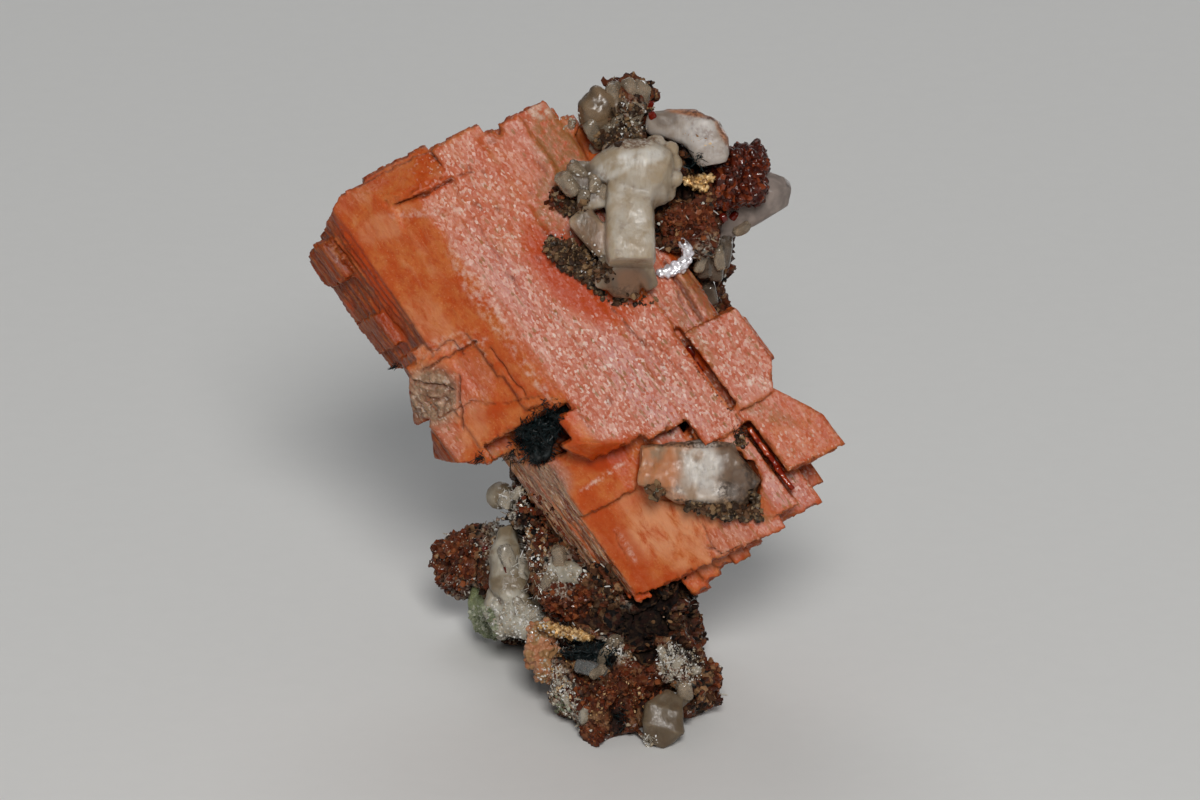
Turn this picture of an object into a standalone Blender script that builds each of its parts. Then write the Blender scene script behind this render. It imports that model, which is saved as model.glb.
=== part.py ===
"""Serandite with natrolite: a free-standing mineral specimen, modelled at its real size.

The specimen is laid out in a front frame: x to the right, y away from the eye, z up the picture
plane, all in millimetres from the tip of the foot. The eye looks down on it by VIEW_TILT, so the
whole is turned by that much at the end, which sets the foot level on the floor.
"""

import math

import bmesh
import bpy
from mathutils import Matrix, Vector, noise

MM = 0.001

# Stance on the floor
VIEW_TILT = math.radians(20.0)
FLOOR_TIP = (0.0, -6.0, 0.0)
CENTRE_SHIFT = (-0.07, -17.69)
FLOOR_DEPTH = 60.0
GAP = 0.35

# The serandite's growth axes in the front frame: long axis down to the right, broad face to the eye
LONG_AXIS_FALL = math.radians(54.0)
CRYSTAL_HEART = (0.2, -9.0, 49.2)
END_SKEW = math.radians(9.4)
MOSAIC = math.radians(0.6)

# The golden ratio, which spreads the ends of a row of ribs or needles unevenly
GOLDEN = 0.618

# Faces shared by the serandite blades: the way each leans on crystal axes (long, wide) and how far
FACES = {
    "orange": ((0.0, -1.0), math.radians(32.0)),
    "low_orange": ((0.0, -1.0), math.radians(25.0)),
    "side": ((0.0, -1.0), math.radians(66.0)),
    "shoulder": ((0.0, 1.0), math.radians(12.0)),
    "right": ((0.0, 1.0), math.radians(58.0)),
    "crown": ((-1.0, 0.0), math.radians(38.0)),
    "brow": ((-0.927, -0.374), math.radians(93.0)),
    "west": ((-0.588, -0.809), math.radians(95.0)),
    "south": ((0.809, -0.588), math.radians(97.0)),
    "east": ((0.588, 0.809), math.radians(98.0)),
    "northeast": ((-0.455, 0.890), math.radians(97.0)),
    "corner": ((0.809, -0.588), math.radians(40.0)),
    "heel": ((0.809, -0.588), math.radians(52.0)),
    "undercut": ((0.986, -0.163), math.radians(112.0)),
}

# Rough rock: grain of the mesh, size and height of its lumps and of its grains
ROCK_VOXEL = 0.8
ROCK_TRIANGLES = 2720
LUMP_SIZE = 4.6
LUMP_HEIGHT = 2.6
GRAIN_SIZE = 2.3
GRAIN_HEIGHT = 1.45

COLOURS = {
    "serandite": ((0.80, 0.30, 0.19), 0.45),
    "red_serandite": ((0.33, 0.08, 0.05), 0.4),
    "matrix": ((0.20, 0.10, 0.07), 0.7),
    "natrolite": ((0.80, 0.76, 0.68), 0.3),
    "grey_natrolite": ((0.50, 0.47, 0.42), 0.25),
    "green_mineral": ((0.33, 0.37, 0.26), 0.6),
    "aegirine": ((0.02, 0.025, 0.025), 0.3),
    "gold_mineral": ((0.45, 0.27, 0.10), 0.35),
}


def clear_scene():
    """Empty the file of objects."""
    for obj in list(bpy.data.objects):
        bpy.data.objects.remove(obj, do_unlink=True)


def named_collection(name):
    """Return a collection of this name, linked to the scene."""
    found = bpy.data.collections.get(name)
    if found is None:
        found = bpy.data.collections.new(name)
        bpy.context.scene.collection.children.link(found)
    return found


def material(name):
    """Return the Principled material of this name from COLOURS."""
    found = bpy.data.materials.get(name)
    if found is None:
        colour, roughness = COLOURS[name]
        found = bpy.data.materials.new(name)
        found.use_nodes = True
        shader = found.node_tree.nodes["Principled BSDF"]
        shader.inputs["Base Color"].default_value = (*colour, 1.0)
        shader.inputs["Roughness"].default_value = roughness
        shader.inputs["Metallic"].default_value = 0.0
        found.diffuse_color = (*colour, 1.0)
    return found


def new_object(name, bm, place):
    """Make an object from a bmesh given in millimetres, moved by the matrix place."""
    bmesh.ops.transform(bm, matrix=place, verts=bm.verts)
    bmesh.ops.scale(bm, vec=(MM, MM, MM), verts=bm.verts)
    bmesh.ops.recalc_face_normals(bm, faces=bm.faces)
    mesh = bpy.data.meshes.new(name)
    bm.to_mesh(mesh)
    bm.free()
    obj = bpy.data.objects.new(name, mesh)
    named_collection("serandite_with_natrolite").objects.link(obj)
    return obj


def bake(obj):
    """Replace the object's mesh by its evaluated one, so that no modifier stays."""
    bpy.context.view_layer.update()
    depsgraph = bpy.context.evaluated_depsgraph_get()
    mesh = bpy.data.meshes.new_from_object(obj.evaluated_get(depsgraph))
    obj.modifiers.clear()
    old = obj.data
    obj.data = mesh
    bpy.data.meshes.remove(old)


def combine(target, other, operation):
    """Boolean another object into the target, then remove that other object."""
    modifier = target.modifiers.new(operation.lower(), "BOOLEAN")
    modifier.operation = operation
    modifier.solver = "EXACT"
    modifier.object = other
    bake(target)
    bpy.data.objects.remove(other, do_unlink=True)


def union(name, parts):
    """Join overlapping objects in one solid."""
    first, *rest = parts
    for other in rest:
        combine(first, other, "UNION")
    first.name = name
    return first


def cut(target, cutters):
    """Cut each object of a list out of the target."""
    for cutter in cutters:
        combine(target, cutter, "DIFFERENCE")


def keep_largest(obj):
    """Weld the object and drop every island but the one of the largest volume."""
    bm = bmesh.new()
    bm.from_mesh(obj.data)
    bmesh.ops.remove_doubles(bm, verts=bm.verts, dist=0.004 * MM)
    bmesh.ops.dissolve_degenerate(bm, edges=bm.edges, dist=0.002 * MM)
    left = set(bm.faces)
    islands = []
    while left:
        stack = [left.pop()]
        island = set(stack)
        while stack:
            for edge in stack.pop().edges:
                for face in edge.link_faces:
                    if face in left:
                        left.remove(face)
                        island.add(face)
                        stack.append(face)
        islands.append(island)
    largest = max(islands, key=island_volume)
    doomed = [face for face in bm.faces if face not in largest]
    bmesh.ops.delete(bm, geom=doomed, context="FACES")
    bm.to_mesh(obj.data)
    bm.free()


def island_volume(faces):
    """Signed volume within a closed set of faces."""
    total = 0.0
    for face in faces:
        first, *rest = [vert.co for vert in face.verts]
        for second, third in zip(rest, rest[1:]):
            total += first.dot(second.cross(third)) / 6.0
    return total


def slice_off(bm, point, normal):
    """Cut a closed bmesh by a plane, drop what lies beyond it and close the cut."""
    geometry = bm.verts[:] + bm.edges[:] + bm.faces[:]
    bmesh.ops.bisect_plane(
        bm, geom=geometry, plane_co=point, plane_no=normal, clear_outer=True, dist=0.0005
    )
    rim = [edge for edge in bm.edges if edge.is_boundary]
    if rim:
        bmesh.ops.holes_fill(bm, edges=rim, sides=0)


def crystal_axes():
    """The matrix from crystal axes (long, wide, towards the eye) to the front frame."""
    fall = LONG_AXIS_FALL
    long_axis = Vector((math.cos(fall), 0.0, -math.sin(fall)))
    wide_axis = Vector((math.sin(fall), 0.0, math.cos(fall)))
    thick_axis = Vector((0.0, -1.0, 0.0))
    turn = Matrix((long_axis, wide_axis, thick_axis)).transposed().to_4x4()
    return Matrix.Translation(CRYSTAL_HEART) @ turn


def face_normal(name):
    """Outward normal, on crystal axes, of one of the faces that all blades share."""
    (along, across), tilt = FACES[name]
    return Vector((along * math.sin(tilt), across * math.sin(tilt), math.cos(tilt)))


def blade(spec, grow=0.0):
    """One serandite blade, a block on crystal axes whose edges are cut by the shared faces.

    spec holds the span along each axis, and each cutting face with a point that it passes.
    """
    (l0, l1), (w0, w1), (t0, t1), cuts = spec
    low = Vector((l0, w0, t0)) - Vector((grow, grow, grow))
    high = Vector((l1, w1, t1)) + Vector((grow, grow, grow))
    skew_room = math.tan(END_SKEW) * (high.y - low.y)
    bm = bmesh.new()
    bmesh.ops.create_cube(bm, size=1.0)
    size = high - low
    size.x += 2.0 * skew_room
    bmesh.ops.scale(bm, vec=size, verts=bm.verts)
    bmesh.ops.translate(bm, vec=(low + high) / 2.0, verts=bm.verts)
    middle = (low.y + high.y) / 2.0
    for end, way in ((low.x, -1.0), (high.x, 1.0)):
        normal = Vector((math.cos(END_SKEW), -math.sin(END_SKEW), 0.0)) * way
        slice_off(bm, Vector((end, middle, 0.0)), normal)
    for name, point in cuts:
        normal = face_normal(name)
        slice_off(bm, Vector(point) + normal * grow, normal)
    return new_object("blade", bm, crystal_axes() @ mosaic_turn(spec))


def mosaic_turn(spec):
    """The slight turn of a blade against its neighbours, which differs from blade to blade."""
    (l0, l1), (w0, w1), (t0, t1), _ = spec
    heart = Vector(((l0 + l1) / 2.0, (w0 + w1) / 2.0, t1))
    lean = MOSAIC * math.sin(5.0 * w0 + 3.0 * l1)
    swing = MOSAIC * math.sin(7.0 * l0 + 2.0 * w1)
    turn = Matrix.Rotation(lean, 4, "X") @ Matrix.Rotation(swing, 4, "Z")
    return Matrix.Translation(heart) @ turn @ Matrix.Translation(-heart)


def stalk(spec, grow=0.0):
    """One natrolite prism: square section, worn edges and a low pyramid at its tip.

    spec is (foot, tip, width, depth, pyramid height, turn about its own axis in degrees).
    """
    foot, tip, width, depth, pyramid, turn = spec
    foot = Vector(foot)
    tip = Vector(tip)
    axis = tip - foot
    length = axis.length + 2.0 * grow
    bm = bmesh.new()
    bmesh.ops.create_cube(bm, size=1.0)
    bmesh.ops.scale(bm, vec=(width + 2.0 * grow, depth + 2.0 * grow, length), verts=bm.verts)
    uprights = [e for e in bm.edges if abs(e.verts[0].co.z - e.verts[1].co.z) > length / 2.0]
    bmesh.ops.bevel(
        bm, geom=uprights, offset=0.16 * min(width, depth), segments=2, profile=0.5, affect="EDGES"
    )
    slope = math.atan2(pyramid, 0.36 * min(width, depth))
    apex = Vector((0.0, 0.0, length / 2.0))
    for k in range(4):
        around = math.pi / 4.0 + k * math.pi / 2.0
        normal = Vector(
            (math.sin(slope) * math.cos(around), math.sin(slope) * math.sin(around), math.cos(slope))
        )
        flat = Vector((normal.x, normal.y, 0.0)).normalized()
        slice_off(bm, apex + flat * 0.14 * width, normal)
    aim = axis.to_track_quat("Z", "Y").to_matrix().to_4x4()
    spin = Matrix.Rotation(math.radians(turn), 4, "Z")
    place = Matrix.Translation((foot + tip) / 2.0) @ aim @ spin
    return new_object("stalk", bm, place)


def needle(root, tip, radius, grow=0.0):
    """One slender needle with a blunt point."""
    axis = Vector(tip) - Vector(root)
    bm = bmesh.new()
    bmesh.ops.create_cone(
        bm, cap_ends=True, segments=5, radius1=radius + grow, radius2=0.35 * radius + grow,
        depth=axis.length + 2.0 * grow,
    )
    aim = axis.to_track_quat("Z", "Y").to_matrix().to_4x4()
    return new_object("needle", bm, Matrix.Translation((Vector(root) + Vector(tip)) / 2.0) @ aim)


def pebble(centre, radii, grow=0.0, facets=2):
    """A faceted rounded crystal or lump."""
    bm = bmesh.new()
    bmesh.ops.create_icosphere(bm, subdivisions=facets, radius=1.0)
    bmesh.ops.scale(bm, vec=Vector(radii) + Vector((grow, grow, grow)), verts=bm.verts)
    return new_object("pebble", bm, Matrix.Translation(centre))


def roughen(obj, size, height, grains=False):
    """Push the surface in and out, by rounded grains or by uneven lumps of this size and height."""
    bm = bmesh.new()
    bm.from_mesh(obj.data)
    bm.normal_update()
    moves = []
    for vert in bm.verts:
        spot = vert.co / (size * MM)
        if grains:
            distances, seeds = noise.voronoi(spot)
            groove = min(2.5 * (distances[1] - distances[0]), 0.5)
            push = groove + 0.6 * noise.cell(seeds[0] * 31.7) - 0.5
        else:
            push = 0.9 * noise.fractal(spot, 0.9, 2.1, 3)
        moves.append(vert.normal * push * height * MM)
    for vert, move in zip(bm.verts, moves):
        vert.co += move
    bm.to_mesh(obj.data)
    bm.free()


def remesh(obj, voxel):
    """Turn overlapping bodies into one even skin."""
    modifier = obj.modifiers.new("remesh", "REMESH")
    modifier.mode = "VOXEL"
    modifier.voxel_size = voxel * MM
    bake(obj)


def decimate(obj, triangles):
    """Reduce the object to about this many triangles."""
    now = sum(len(polygon.vertices) - 2 for polygon in obj.data.polygons)
    modifier = obj.modifiers.new("fewer", "DECIMATE")
    modifier.ratio = min(1.0, triangles / now)
    bake(obj)


# Serandite blades: spans along the long axis, across it and in thickness, and the faces that cut them
BROW = ("brow", (-27.4, -20.7, -8.0))
BLADES = {
    "upper_left": (
        (-30.3, -8.4), (-20.9, 1.0), (-19.0, 0.0),
        [
            ("orange", (0.0, -5.6, 0.0)), ("side", (0.0, -14.6, -5.6)),
            ("crown", (-25.6, 0.0, 0.0)), BROW,
        ],
    ),
    "upper_border": (
        (-29.0, -5.4), (-12.0, 2.0), (-18.0, -0.1),
        [("orange", (0.0, -5.3, -0.1)), ("crown", (-25.0, 0.0, -0.1))],
    ),
    "crown_ledge": (
        (-30.2, -24.0), (-9.4, -0.9), (-12.0, -0.6),
        [("orange", (0.0, -5.6, -0.6)), ("crown", (-25.9, 0.0, -0.6))],
    ),
    "pink_left": (
        (-28.6, 13.4), (-7.2, 0.8), (-20.0, 0.15),
        [
            ("orange", (0.0, -5.0, 0.15)), ("crown", (-24.6, 0.0, 0.15)),
            ("heel", (11.9, -4.6, 0.15)),
        ],
    ),
    "pink_middle": ((-28.3, 15.2), (-0.3, 5.9), (-20.4, 0.0), []),
    "pink_right": ((-26.2, 20.0), (5.0, 10.5), (-19.8, 0.2), []),
    "shoulder": ((-25.9, 7.8), (8.6, 13.9), (-19.2, -0.2), [("shoulder", (0.0, 9.0, -0.2))]),
    "shoulder_edge": ((-22.5, 7.0), (12.8, 15.8), (-18.2, -1.6), [("right", (0.0, 14.9, -1.6))]),
    "splinter_upper": (
        (-28.0, -22.5), (-21.2, -17.0), (-15.0, -9.6), [("side", (0.0, -18.4, -9.6)), BROW]
    ),
    "splinter_lower": (
        (-17.2, -12.4), (-21.1, -17.0), (-15.6, -10.2), [("side", (0.0, -18.2, -10.2))]
    ),
    "raised_strip": (
        (-6.2, 4.0), (-9.8, -4.6), (-9.0, -0.2), [("orange", (0.0, -6.0, -0.2))]
    ),
    "raised_strip_upper": (
        (-8.2, -1.4), (-10.2, -4.6), (-9.0, -0.05), [("orange", (0.0, -5.8, -0.05))]
    ),
    "second_block": (
        (-9.8, 4.7), (-19.0, -5.0), (-17.4, -1.1),
        [
            ("orange", (0.0, -6.4, -1.1)), ("side", (0.0, -16.9, -7.7)),
            ("corner", (3.4, -11.0, -4.0)),
        ],
    ),
    "second_outer": (
        (-9.4, -2.6), (-23.2, -13.0), (-16.6, -6.0),
        [
            ("orange", (0.0, -14.3, -6.0)), ("side", (0.0, -19.9, -9.4)),
            ("west", (-8.4, -18.9, -9.0)),
        ],
    ),
    "second_foot": (
        (-4.2, 5.6), (-23.6, -13.0), (-15.6, -6.2),
        [
            ("orange", (0.0, -14.1, -6.2)), ("side", (0.0, -20.2, -10.0)),
            ("west", (-1.8, -20.5, -9.0)), ("south", (2.6, -21.9, -9.0)),
        ],
    ),
    "second_ledge": (
        (-8.9, -1.6), (-18.7, -13.4), (-15.8, -5.3), [("orange", (0.0, -13.9, -5.3))]
    ),
    "third_block": (
        (16.6, 30.9), (-16.1, 7.4), (-20.2, -1.4),
        [
            ("low_orange", (0.0, 4.2, -1.4)), ("side", (0.0, -12.2, -9.1)),
            ("undercut", (30.9, -4.4, -9.0)),
        ],
    ),
    "third_facet": (
        (9.4, 18.2), (-15.4, -3.0), (-18.6, -4.6),
        [("low_orange", (0.0, -5.6, -4.6)), ("side", (0.0, -11.6, -7.4))],
    ),
    "third_bridge": ((13.0, 20.0), (-3.6, 4.0), (-18.0, -3.4), [("low_orange", (0.0, 0.4, -3.4))]),
    "right_block": (
        (7.6, 19.0), (10.9, 18.0), (-15.0, 0.6),
        [("shoulder", (0.0, 12.2, 0.6)), ("east", (15.8, 17.8, -1.0))],
    ),
    "right_step": (
        (9.4, 15.4), (14.0, 18.2), (-13.0, -1.2), [("right", (0.0, 17.2, -1.2))]
    ),
    "corner_lobe": (
        (18.0, 28.4), (10.6, 18.9), (-12.6, -0.4),
        [("shoulder", (0.0, 12.0, -0.4)), ("northeast", (22.9, 18.1, -1.5))],
    ),
    "corner_tip": ((25.0, 27.8), (15.0, 18.5), (-7.6, -1.9), [("right", (0.0, 17.8, -1.9))]),
    "corner_strip": ((17.0, 31.2), (4.6, 10.0), (-14.0, -0.7), [("low_orange", (0.0, 7.4, -0.7))]),
    "rear_lobe": ((20.0, 32.6), (6.0, 12.6), (-14.4, -5.8), []),
    "core": ((-27.0, 29.0), (-15.6, 14.4), (-20.6, -12.0), [("side", (0.0, -13.8, -12.0)), BROW]),
    "back_broad": ((-22.5, 16.0), (-9.0, 8.0), (-23.6, -18.0), []),
    "back_left": (
        (-18.0, 6.0), (-14.0, -7.6), (-22.2, -17.0), [("side", (0.0, -13.2, -17.0))]
    ),
    "back_low": ((4.0, 25.0), (-6.0, 11.0), (-22.7, -17.6), []),
    "back_rib": ((-14.0, 20.0), (-2.4, 2.8), (-24.4, -18.2), []),
}

# Pockets opened in the serandite: the hollow between the blocks, the crack, the slit and the valley
POCKETS = {
    "needle_hollow": ((4.5, 9.9), (-16.4, -5.2), (-11.4, 3.0), []),
    "crown_crack": ((-26.1, -25.6), (-9.0, -0.4), (-3.0, 3.0), []),
    "slit": ((20.0, 30.8), (9.95, 11.45), (-4.7, 3.0), []),
    "valley": ((6.0, 17.6), (10.2, 11.1), (-2.2, 3.0), []),
    "top_notch": ((-31.0, -25.2), (6.9, 7.7), (-9.0, 3.0), []),
}


# Ribs in rows: how many, the spans of their starts and of their ends along the long axis, the width
# of one, the place (wide, thick) of the first one's front and the step from one to the next
SIDE_STEP = (-math.cos(FACES["side"][1]), -math.sin(FACES["side"][1]))
RIB_ROWS = {
    "upper_side": (8, (-27.6, -25.5), (-9.4, -15.4), 2.0, (-15.12, -6.32), 1.55, SIDE_STEP, 0.8, [BROW]),
    "lower_side": (7, (11.4, 16.0), (30.6, 27.2), 2.0, (-12.68, -9.68), 1.6, SIDE_STEP, 0.8, []),
    "end_steps": (6, (22.0, 22.0), (33.6, 32.3), 2.3, (-6.6, -9.6), 1.0, (2.1, 0.55), 9.0, []),
    "back_ribs": (7, (-24.4, -19.4), (12.0, 21.0), 1.6, (-11.0, -19.0), 1.0, (3.1, 0.0), 5.3, []),
    "right_ribs": (5, (-19.0, -12.0), (4.0, 7.0), 2.2, (14.0, -4.0), 1.0, (-0.1, -2.9), 1.6, []),
}


def striation_ribs():
    """Blades of the striated sides, the lower steps and the back, in rows with uneven ends."""
    ribs = []
    for count, starts, ends, width, first, pitch, step, depth, cuts in RIB_ROWS.values():
        for k in range(count):
            early = (GOLDEN * k) % 1.0
            late = ((1.0 - GOLDEN) * k) % 1.0
            start = starts[0] + (starts[1] - starts[0]) * early
            end = ends[0] + (ends[1] - ends[0]) * late
            wide = first[0] + pitch * k * step[0]
            thick = first[1] + pitch * k * step[1]
            ribs.append(((start, end), (wide, wide + width), (thick - depth, thick), cuts))
    return ribs


# Natrolite prisms: foot, tip, width, depth, pyramid height, turn
TOP_GROUP = [
    ((8.2, -6.6, 69.6), (8.6, -14.9, 70.0), 8.2, 6.6, 1.0, 4.0),
    ((9.6, -8.0, 67.4), (10.1, -15.7, 67.2), 5.1, 4.9, 1.0, 30.0),
    ((5.8, -9.6, 70.4), (1.8, -12.3, 69.9), 3.8, 4.2, 0.9, 10.0),
    ((6.8, -13.0, 69.6), (6.9, -15.4, 58.9), 6.2, 6.0, 0.9, 4.0),
    ((6.9, -10.6, 61.0), (6.5, -11.6, 54.0), 5.0, 5.6, 1.0, 8.0),
    ((4.2, -10.6, 64.6), (1.6, -12.6, 59.0), 4.0, 5.2, 0.9, 12.0),
    ((2.6, -10.6, 69.2), (-1.9, -11.6, 67.2), 4.2, 4.6, 0.9, 20.0),
]
ARM = [
    ((8.8, -9.4, 74.9), (17.6, -10.6, 74.4), 3.7, 4.4, 0.9, 18.0),
    ((16.4, -10.4, 76.1), (17.7, -11.4, 69.7), 4.5, 4.4, 1.0, 8.0),
]
FAR_RIGHT = [((15.6, 1.6, 62.4), (25.9, -3.0, 68.2), 4.8, 4.8, 2.2, 15.0)]
KNOB = [
    ((4.4, -7.0, 75.2), (2.4, -9.6, 78.7), 4.3, 4.2, 1.2, 20.0),
    ((3.2, -6.0, 72.4), (1.7, -8.6, 74.7), 3.2, 3.4, 0.9, 35.0),
]
EMBEDDED = [
    ((8.1, -7.6, 33.4), (22.1, -8.0, 31.3), 6.4, 6.0, 1.6, 4.0),
    ((12.4, -7.5, 33.3), (20.4, -8.3, 32.4), 6.5, 6.0, 1.2, -3.0),
]
FOOT_WHITE = [
    ((-8.4, 16.0, 27.0), (-7.4, 12.6, 15.4), 4.6, 5.0, 1.2, 12.0),
    ((-6.2, 14.6, 25.6), (-4.6, 10.4, 14.6), 3.8, 4.4, 1.2, -14.0),
    ((-9.6, 17.0, 19.4), (-7.0, 13.0, 12.6), 3.6, 4.0, 1.0, 25.0),
]
FOOT_TAN = [((9.8, -1.2, 5.6), (10.9, -7.8, 4.2), 5.0, 4.8, 0.9, 10.0)]
GREEN = [
    ((-10.0, 22.4, 18.0), (-10.6, 22.6, 12.6), 3.6, 4.2, 1.0, 30.0),
    ((-8.8, 21.8, 16.4), (-9.2, 21.2, 12.9), 3.0, 3.6, 0.8, 0.0),
]
GREY = [
    ((15.4, -1.0, 58.6), (17.4, -5.0, 60.8), 3.0, 3.0, 0.9, 0.0),
    ((15.8, 0.6, 57.6), (18.0, -1.6, 58.0), 2.8, 3.2, 0.8, 35.0),
    ((16.2, 3.4, 57.0), (16.9, -0.4, 53.6), 2.6, 2.6, 0.8, 10.0),
]
RED_GROUP = [
    ((16.4, -4.4, 66.8), (22.9, -7.6, 68.2), 4.2, 4.4, 0.8, 0.0),
    ((16.8, -4.0, 69.4), (23.3, -6.0, 71.4), 3.6, 3.8, 0.8, 30.0),
    ((17.6, -5.6, 66.2), (19.2, -8.6, 72.4), 4.0, 3.6, 0.8, 12.0),
]
PINK_CHIP = [
    ((-3.4, 4.6, 14.4), (-4.3, 1.6, 9.4), 3.4, 3.4, 0.6, 10.0),
    ((-3.0, 3.6, 11.4), (-3.4, 0.6, 8.0), 2.8, 3.0, 0.6, -10.0),
]
CLEAR_CHIP = [((0.2, -2.8, 10.0), (4.2, -4.2, 9.0), 2.0, 2.4, 0.5, 0.0)]
GOLD = [((-3.6, 1.6, 14.7), (2.3, 0.4, 13.6), 1.5, 4.0, 0.4, 0.0)]
BEAD_CENTRE = (-9.2, 17.4, 30.2)
BEAD_RADII = (1.75, 1.7, 1.75)

# Red crystals in the slit, laid along it, and the tapered blade of the foot
SLIT_CRYSTALS = [
    ((20.8, 24.9), (10.38, 10.98), (-4.1, -0.9), []),
    ((23.6, 27.8), (10.45, 11.06), (-4.0, -1.3), []),
    ((26.6, 29.9), (10.34, 10.92), (-4.2, -1.0), []),
]
RED_BLADE = [((-5.4, 13.2, 29.4), (-3.6, 9.8, 19.0), 1.9, 2.8, 1.6, 20.0)]

# Rock lumps: centre and radii
ROCK = [
    ((-14.6, 27.0, 20.6), (3.4, 4.6, 4.2)),
    ((-12.6, 26.0, 22.8), (3.8, 4.8, 3.8)),
    ((-9.8, 24.0, 22.0), (5.0, 5.6, 5.4)),
    ((-6.6, 19.0, 21.4), (4.6, 7.0, 6.4)),
    ((-3.0, 14.0, 26.4), (5.6, 8.0, 7.0)),
    ((-1.6, 6.0, 17.4), (3.8, 5.2, 3.2)),
    ((0.6, 13.0, 20.0), (7.0, 9.0, 8.0)),
    ((8.6, 8.0, 20.6), (7.6, 9.0, 8.4)),
    ((8.0, 8.0, 11.0), (8.4, 10.0, 8.6)),
    ((4.4, -0.6, 5.0), (5.0, 6.4, 5.6)),
    ((0.9, 3.0, 7.6), (3.8, 6.6, 5.6)),
    ((13.2, 2.0, 7.8), (4.4, 6.4, 4.0)),
    ((11.0, 5.0, 13.6), (4.6, 7.4, 6.6)),
    ((-5.6, 25.0, 15.4), (4.6, 5.6, 5.0)),
    ((2.6, 22.0, 14.6), (8.0, 8.0, 7.4)),
    ((10.0, 20.0, 18.0), (6.6, 8.0, 9.0)),
    ((0.0, 17.0, 33.0), (8.6, 6.0, 9.0)),
    ((7.0, 18.0, 41.0), (9.6, 6.6, 9.4)),
    ((-3.4, 16.4, 42.0), (7.0, 4.6, 7.0)),
    ((11.0, 16.0, 51.0), (8.6, 6.8, 8.8)),
    ((3.0, 16.6, 54.0), (7.4, 4.4, 7.6)),
    ((14.0, 10.0, 59.0), (5.4, 8.6, 7.4)),
    ((12.0, 3.0, 67.0), (6.6, 10.4, 7.6)),
    ((7.0, 13.6, 66.0), (7.0, 5.4, 6.6)),
    ((8.0, -5.0, 69.4), (6.0, 6.6, 6.4)),
    ((6.3, -6.2, 76.6), (3.3, 3.8, 4.0)),
    ((2.2, -4.4, 1.4), (2.4, 2.4, 2.2)),
    ((8.9, -5.6, 1.2), (2.0, 2.2, 2.0)),
    ((13.4, -7.0, 63.4), (4.4, 5.0, 4.8)),
    ((1.0, -9.6, 61.2), (4.0, 2.8, 3.2)),
    ((3.6, -9.4, 58.6), (4.0, 2.6, 2.8)),
    ((-0.6, -9.4, 66.4), (2.6, 2.6, 4.0)),
]
ROCK_HOLLOWS = [
    ((1.6, -2.4, 12.0), (4.4, 4.6, 1.9)),
    ((5.2, -7.2, 4.4), (1.2, 3.0, 2.7)),
    ((14.0, -12.0, 70.4), (2.2, 4.0, 2.0)),
    ((8.0, -3.4, 17.6), (7.0, 5.0, 3.6)),
]

# Black needle crusts: the hollow's bed and its needles
NEEDLE_BED = ((4.25, 9.65), (-12.4, -5.3), (-10.25, -7.9), [])
NEEDLE_COUNT = 9
NEEDLE_SPREAD = 5.6
NEEDLE_RADIUS = 0.5
FOOT_BED_CENTRE = (1.6, -1.6, 11.2)
FOOT_BED_RADII = (3.6, 1.7, 1.1)
FOOT_NEEDLE_COUNT = 6
FOOT_NEEDLE_RADIUS = 0.45


def serandite_group(grow=0.0):
    """The parallel blades, grown together."""
    specs = [*BLADES.values(), *striation_ribs()]
    return union("serandite_crystals", [blade(spec, grow) for spec in specs])


def stalk_group(name, specs, grow=0.0):
    """Prisms grown together."""
    return union(name, [stalk(spec, grow) for spec in specs])


def slit_group(grow=0.0):
    """The red crystals in the slit."""
    return union("slit_crystals", [blade(spec, grow) for spec in SLIT_CRYSTALS])


def needle_crust(grow=0.0):
    """The bed of black needles in the hollow between the blocks."""
    parts = [blade(NEEDLE_BED, grow)]
    axes = crystal_axes()
    for k in range(NEEDLE_COUNT):
        wide = -11.6 + NEEDLE_SPREAD * k / (NEEDLE_COUNT - 1)
        root = Vector((5.2 + 3.4 * ((GOLDEN * k) % 1.0), wide, -9.2))
        tip = Vector((4.9 + 4.2 * ((1.0 - GOLDEN) * k % 1.0), wide + 0.2, -4.2 + 0.9 * (k % 3)))
        parts.append(needle(axes @ root, axes @ tip, NEEDLE_RADIUS, grow))
    return union("aegirine_needles", parts)


def foot_needle_crust(grow=0.0):
    """The black needles in the hollow of the foot."""
    parts = [pebble(FOOT_BED_CENTRE, FOOT_BED_RADII, grow, facets=1)]
    centre = Vector(FOOT_BED_CENTRE)
    for k in range(FOOT_NEEDLE_COUNT):
        root = centre + Vector((-2.8 + 1.1 * k, 0.4, -0.1))
        tip = centre + Vector((-3.1 + 1.2 * k, -2.2 - 0.3 * (k % 2), 0.5 - 0.25 * (k % 3)))
        parts.append(needle(root, tip, FOOT_NEEDLE_RADIUS, grow))
    return union("aegirine_foot", parts)


def rock():
    """The granular matrix: foot, left lobe, back ridge and the mass under the upper cluster."""
    lumps = [pebble(centre, radii) for centre, radii in ROCK]
    body = union("matrix", lumps)
    remesh(body, ROCK_VOXEL)
    roughen(body, LUMP_SIZE, LUMP_HEIGHT)
    cut(body, [pebble(centre, radii) for centre, radii in ROCK_HOLLOWS])
    remesh(body, ROCK_VOXEL)
    roughen(body, GRAIN_SIZE, GRAIN_HEIGHT, grains=True)
    remesh(body, 0.7 * ROCK_VOXEL)
    decimate(body, ROCK_TRIANGLES)
    return body


def floor_matrix():
    """The matrix from the front frame to the specimen's own frame, standing on its foot."""
    tilt = Matrix.Rotation(-VIEW_TILT, 4, "X")
    tip = tilt @ (Vector(FLOOR_TIP) * MM)
    centre = Vector((CENTRE_SHIFT[0], CENTRE_SHIFT[1], 0.0)) * MM
    return Matrix.Translation(centre - Vector((0.0, 0.0, tip.z))) @ tilt


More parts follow.
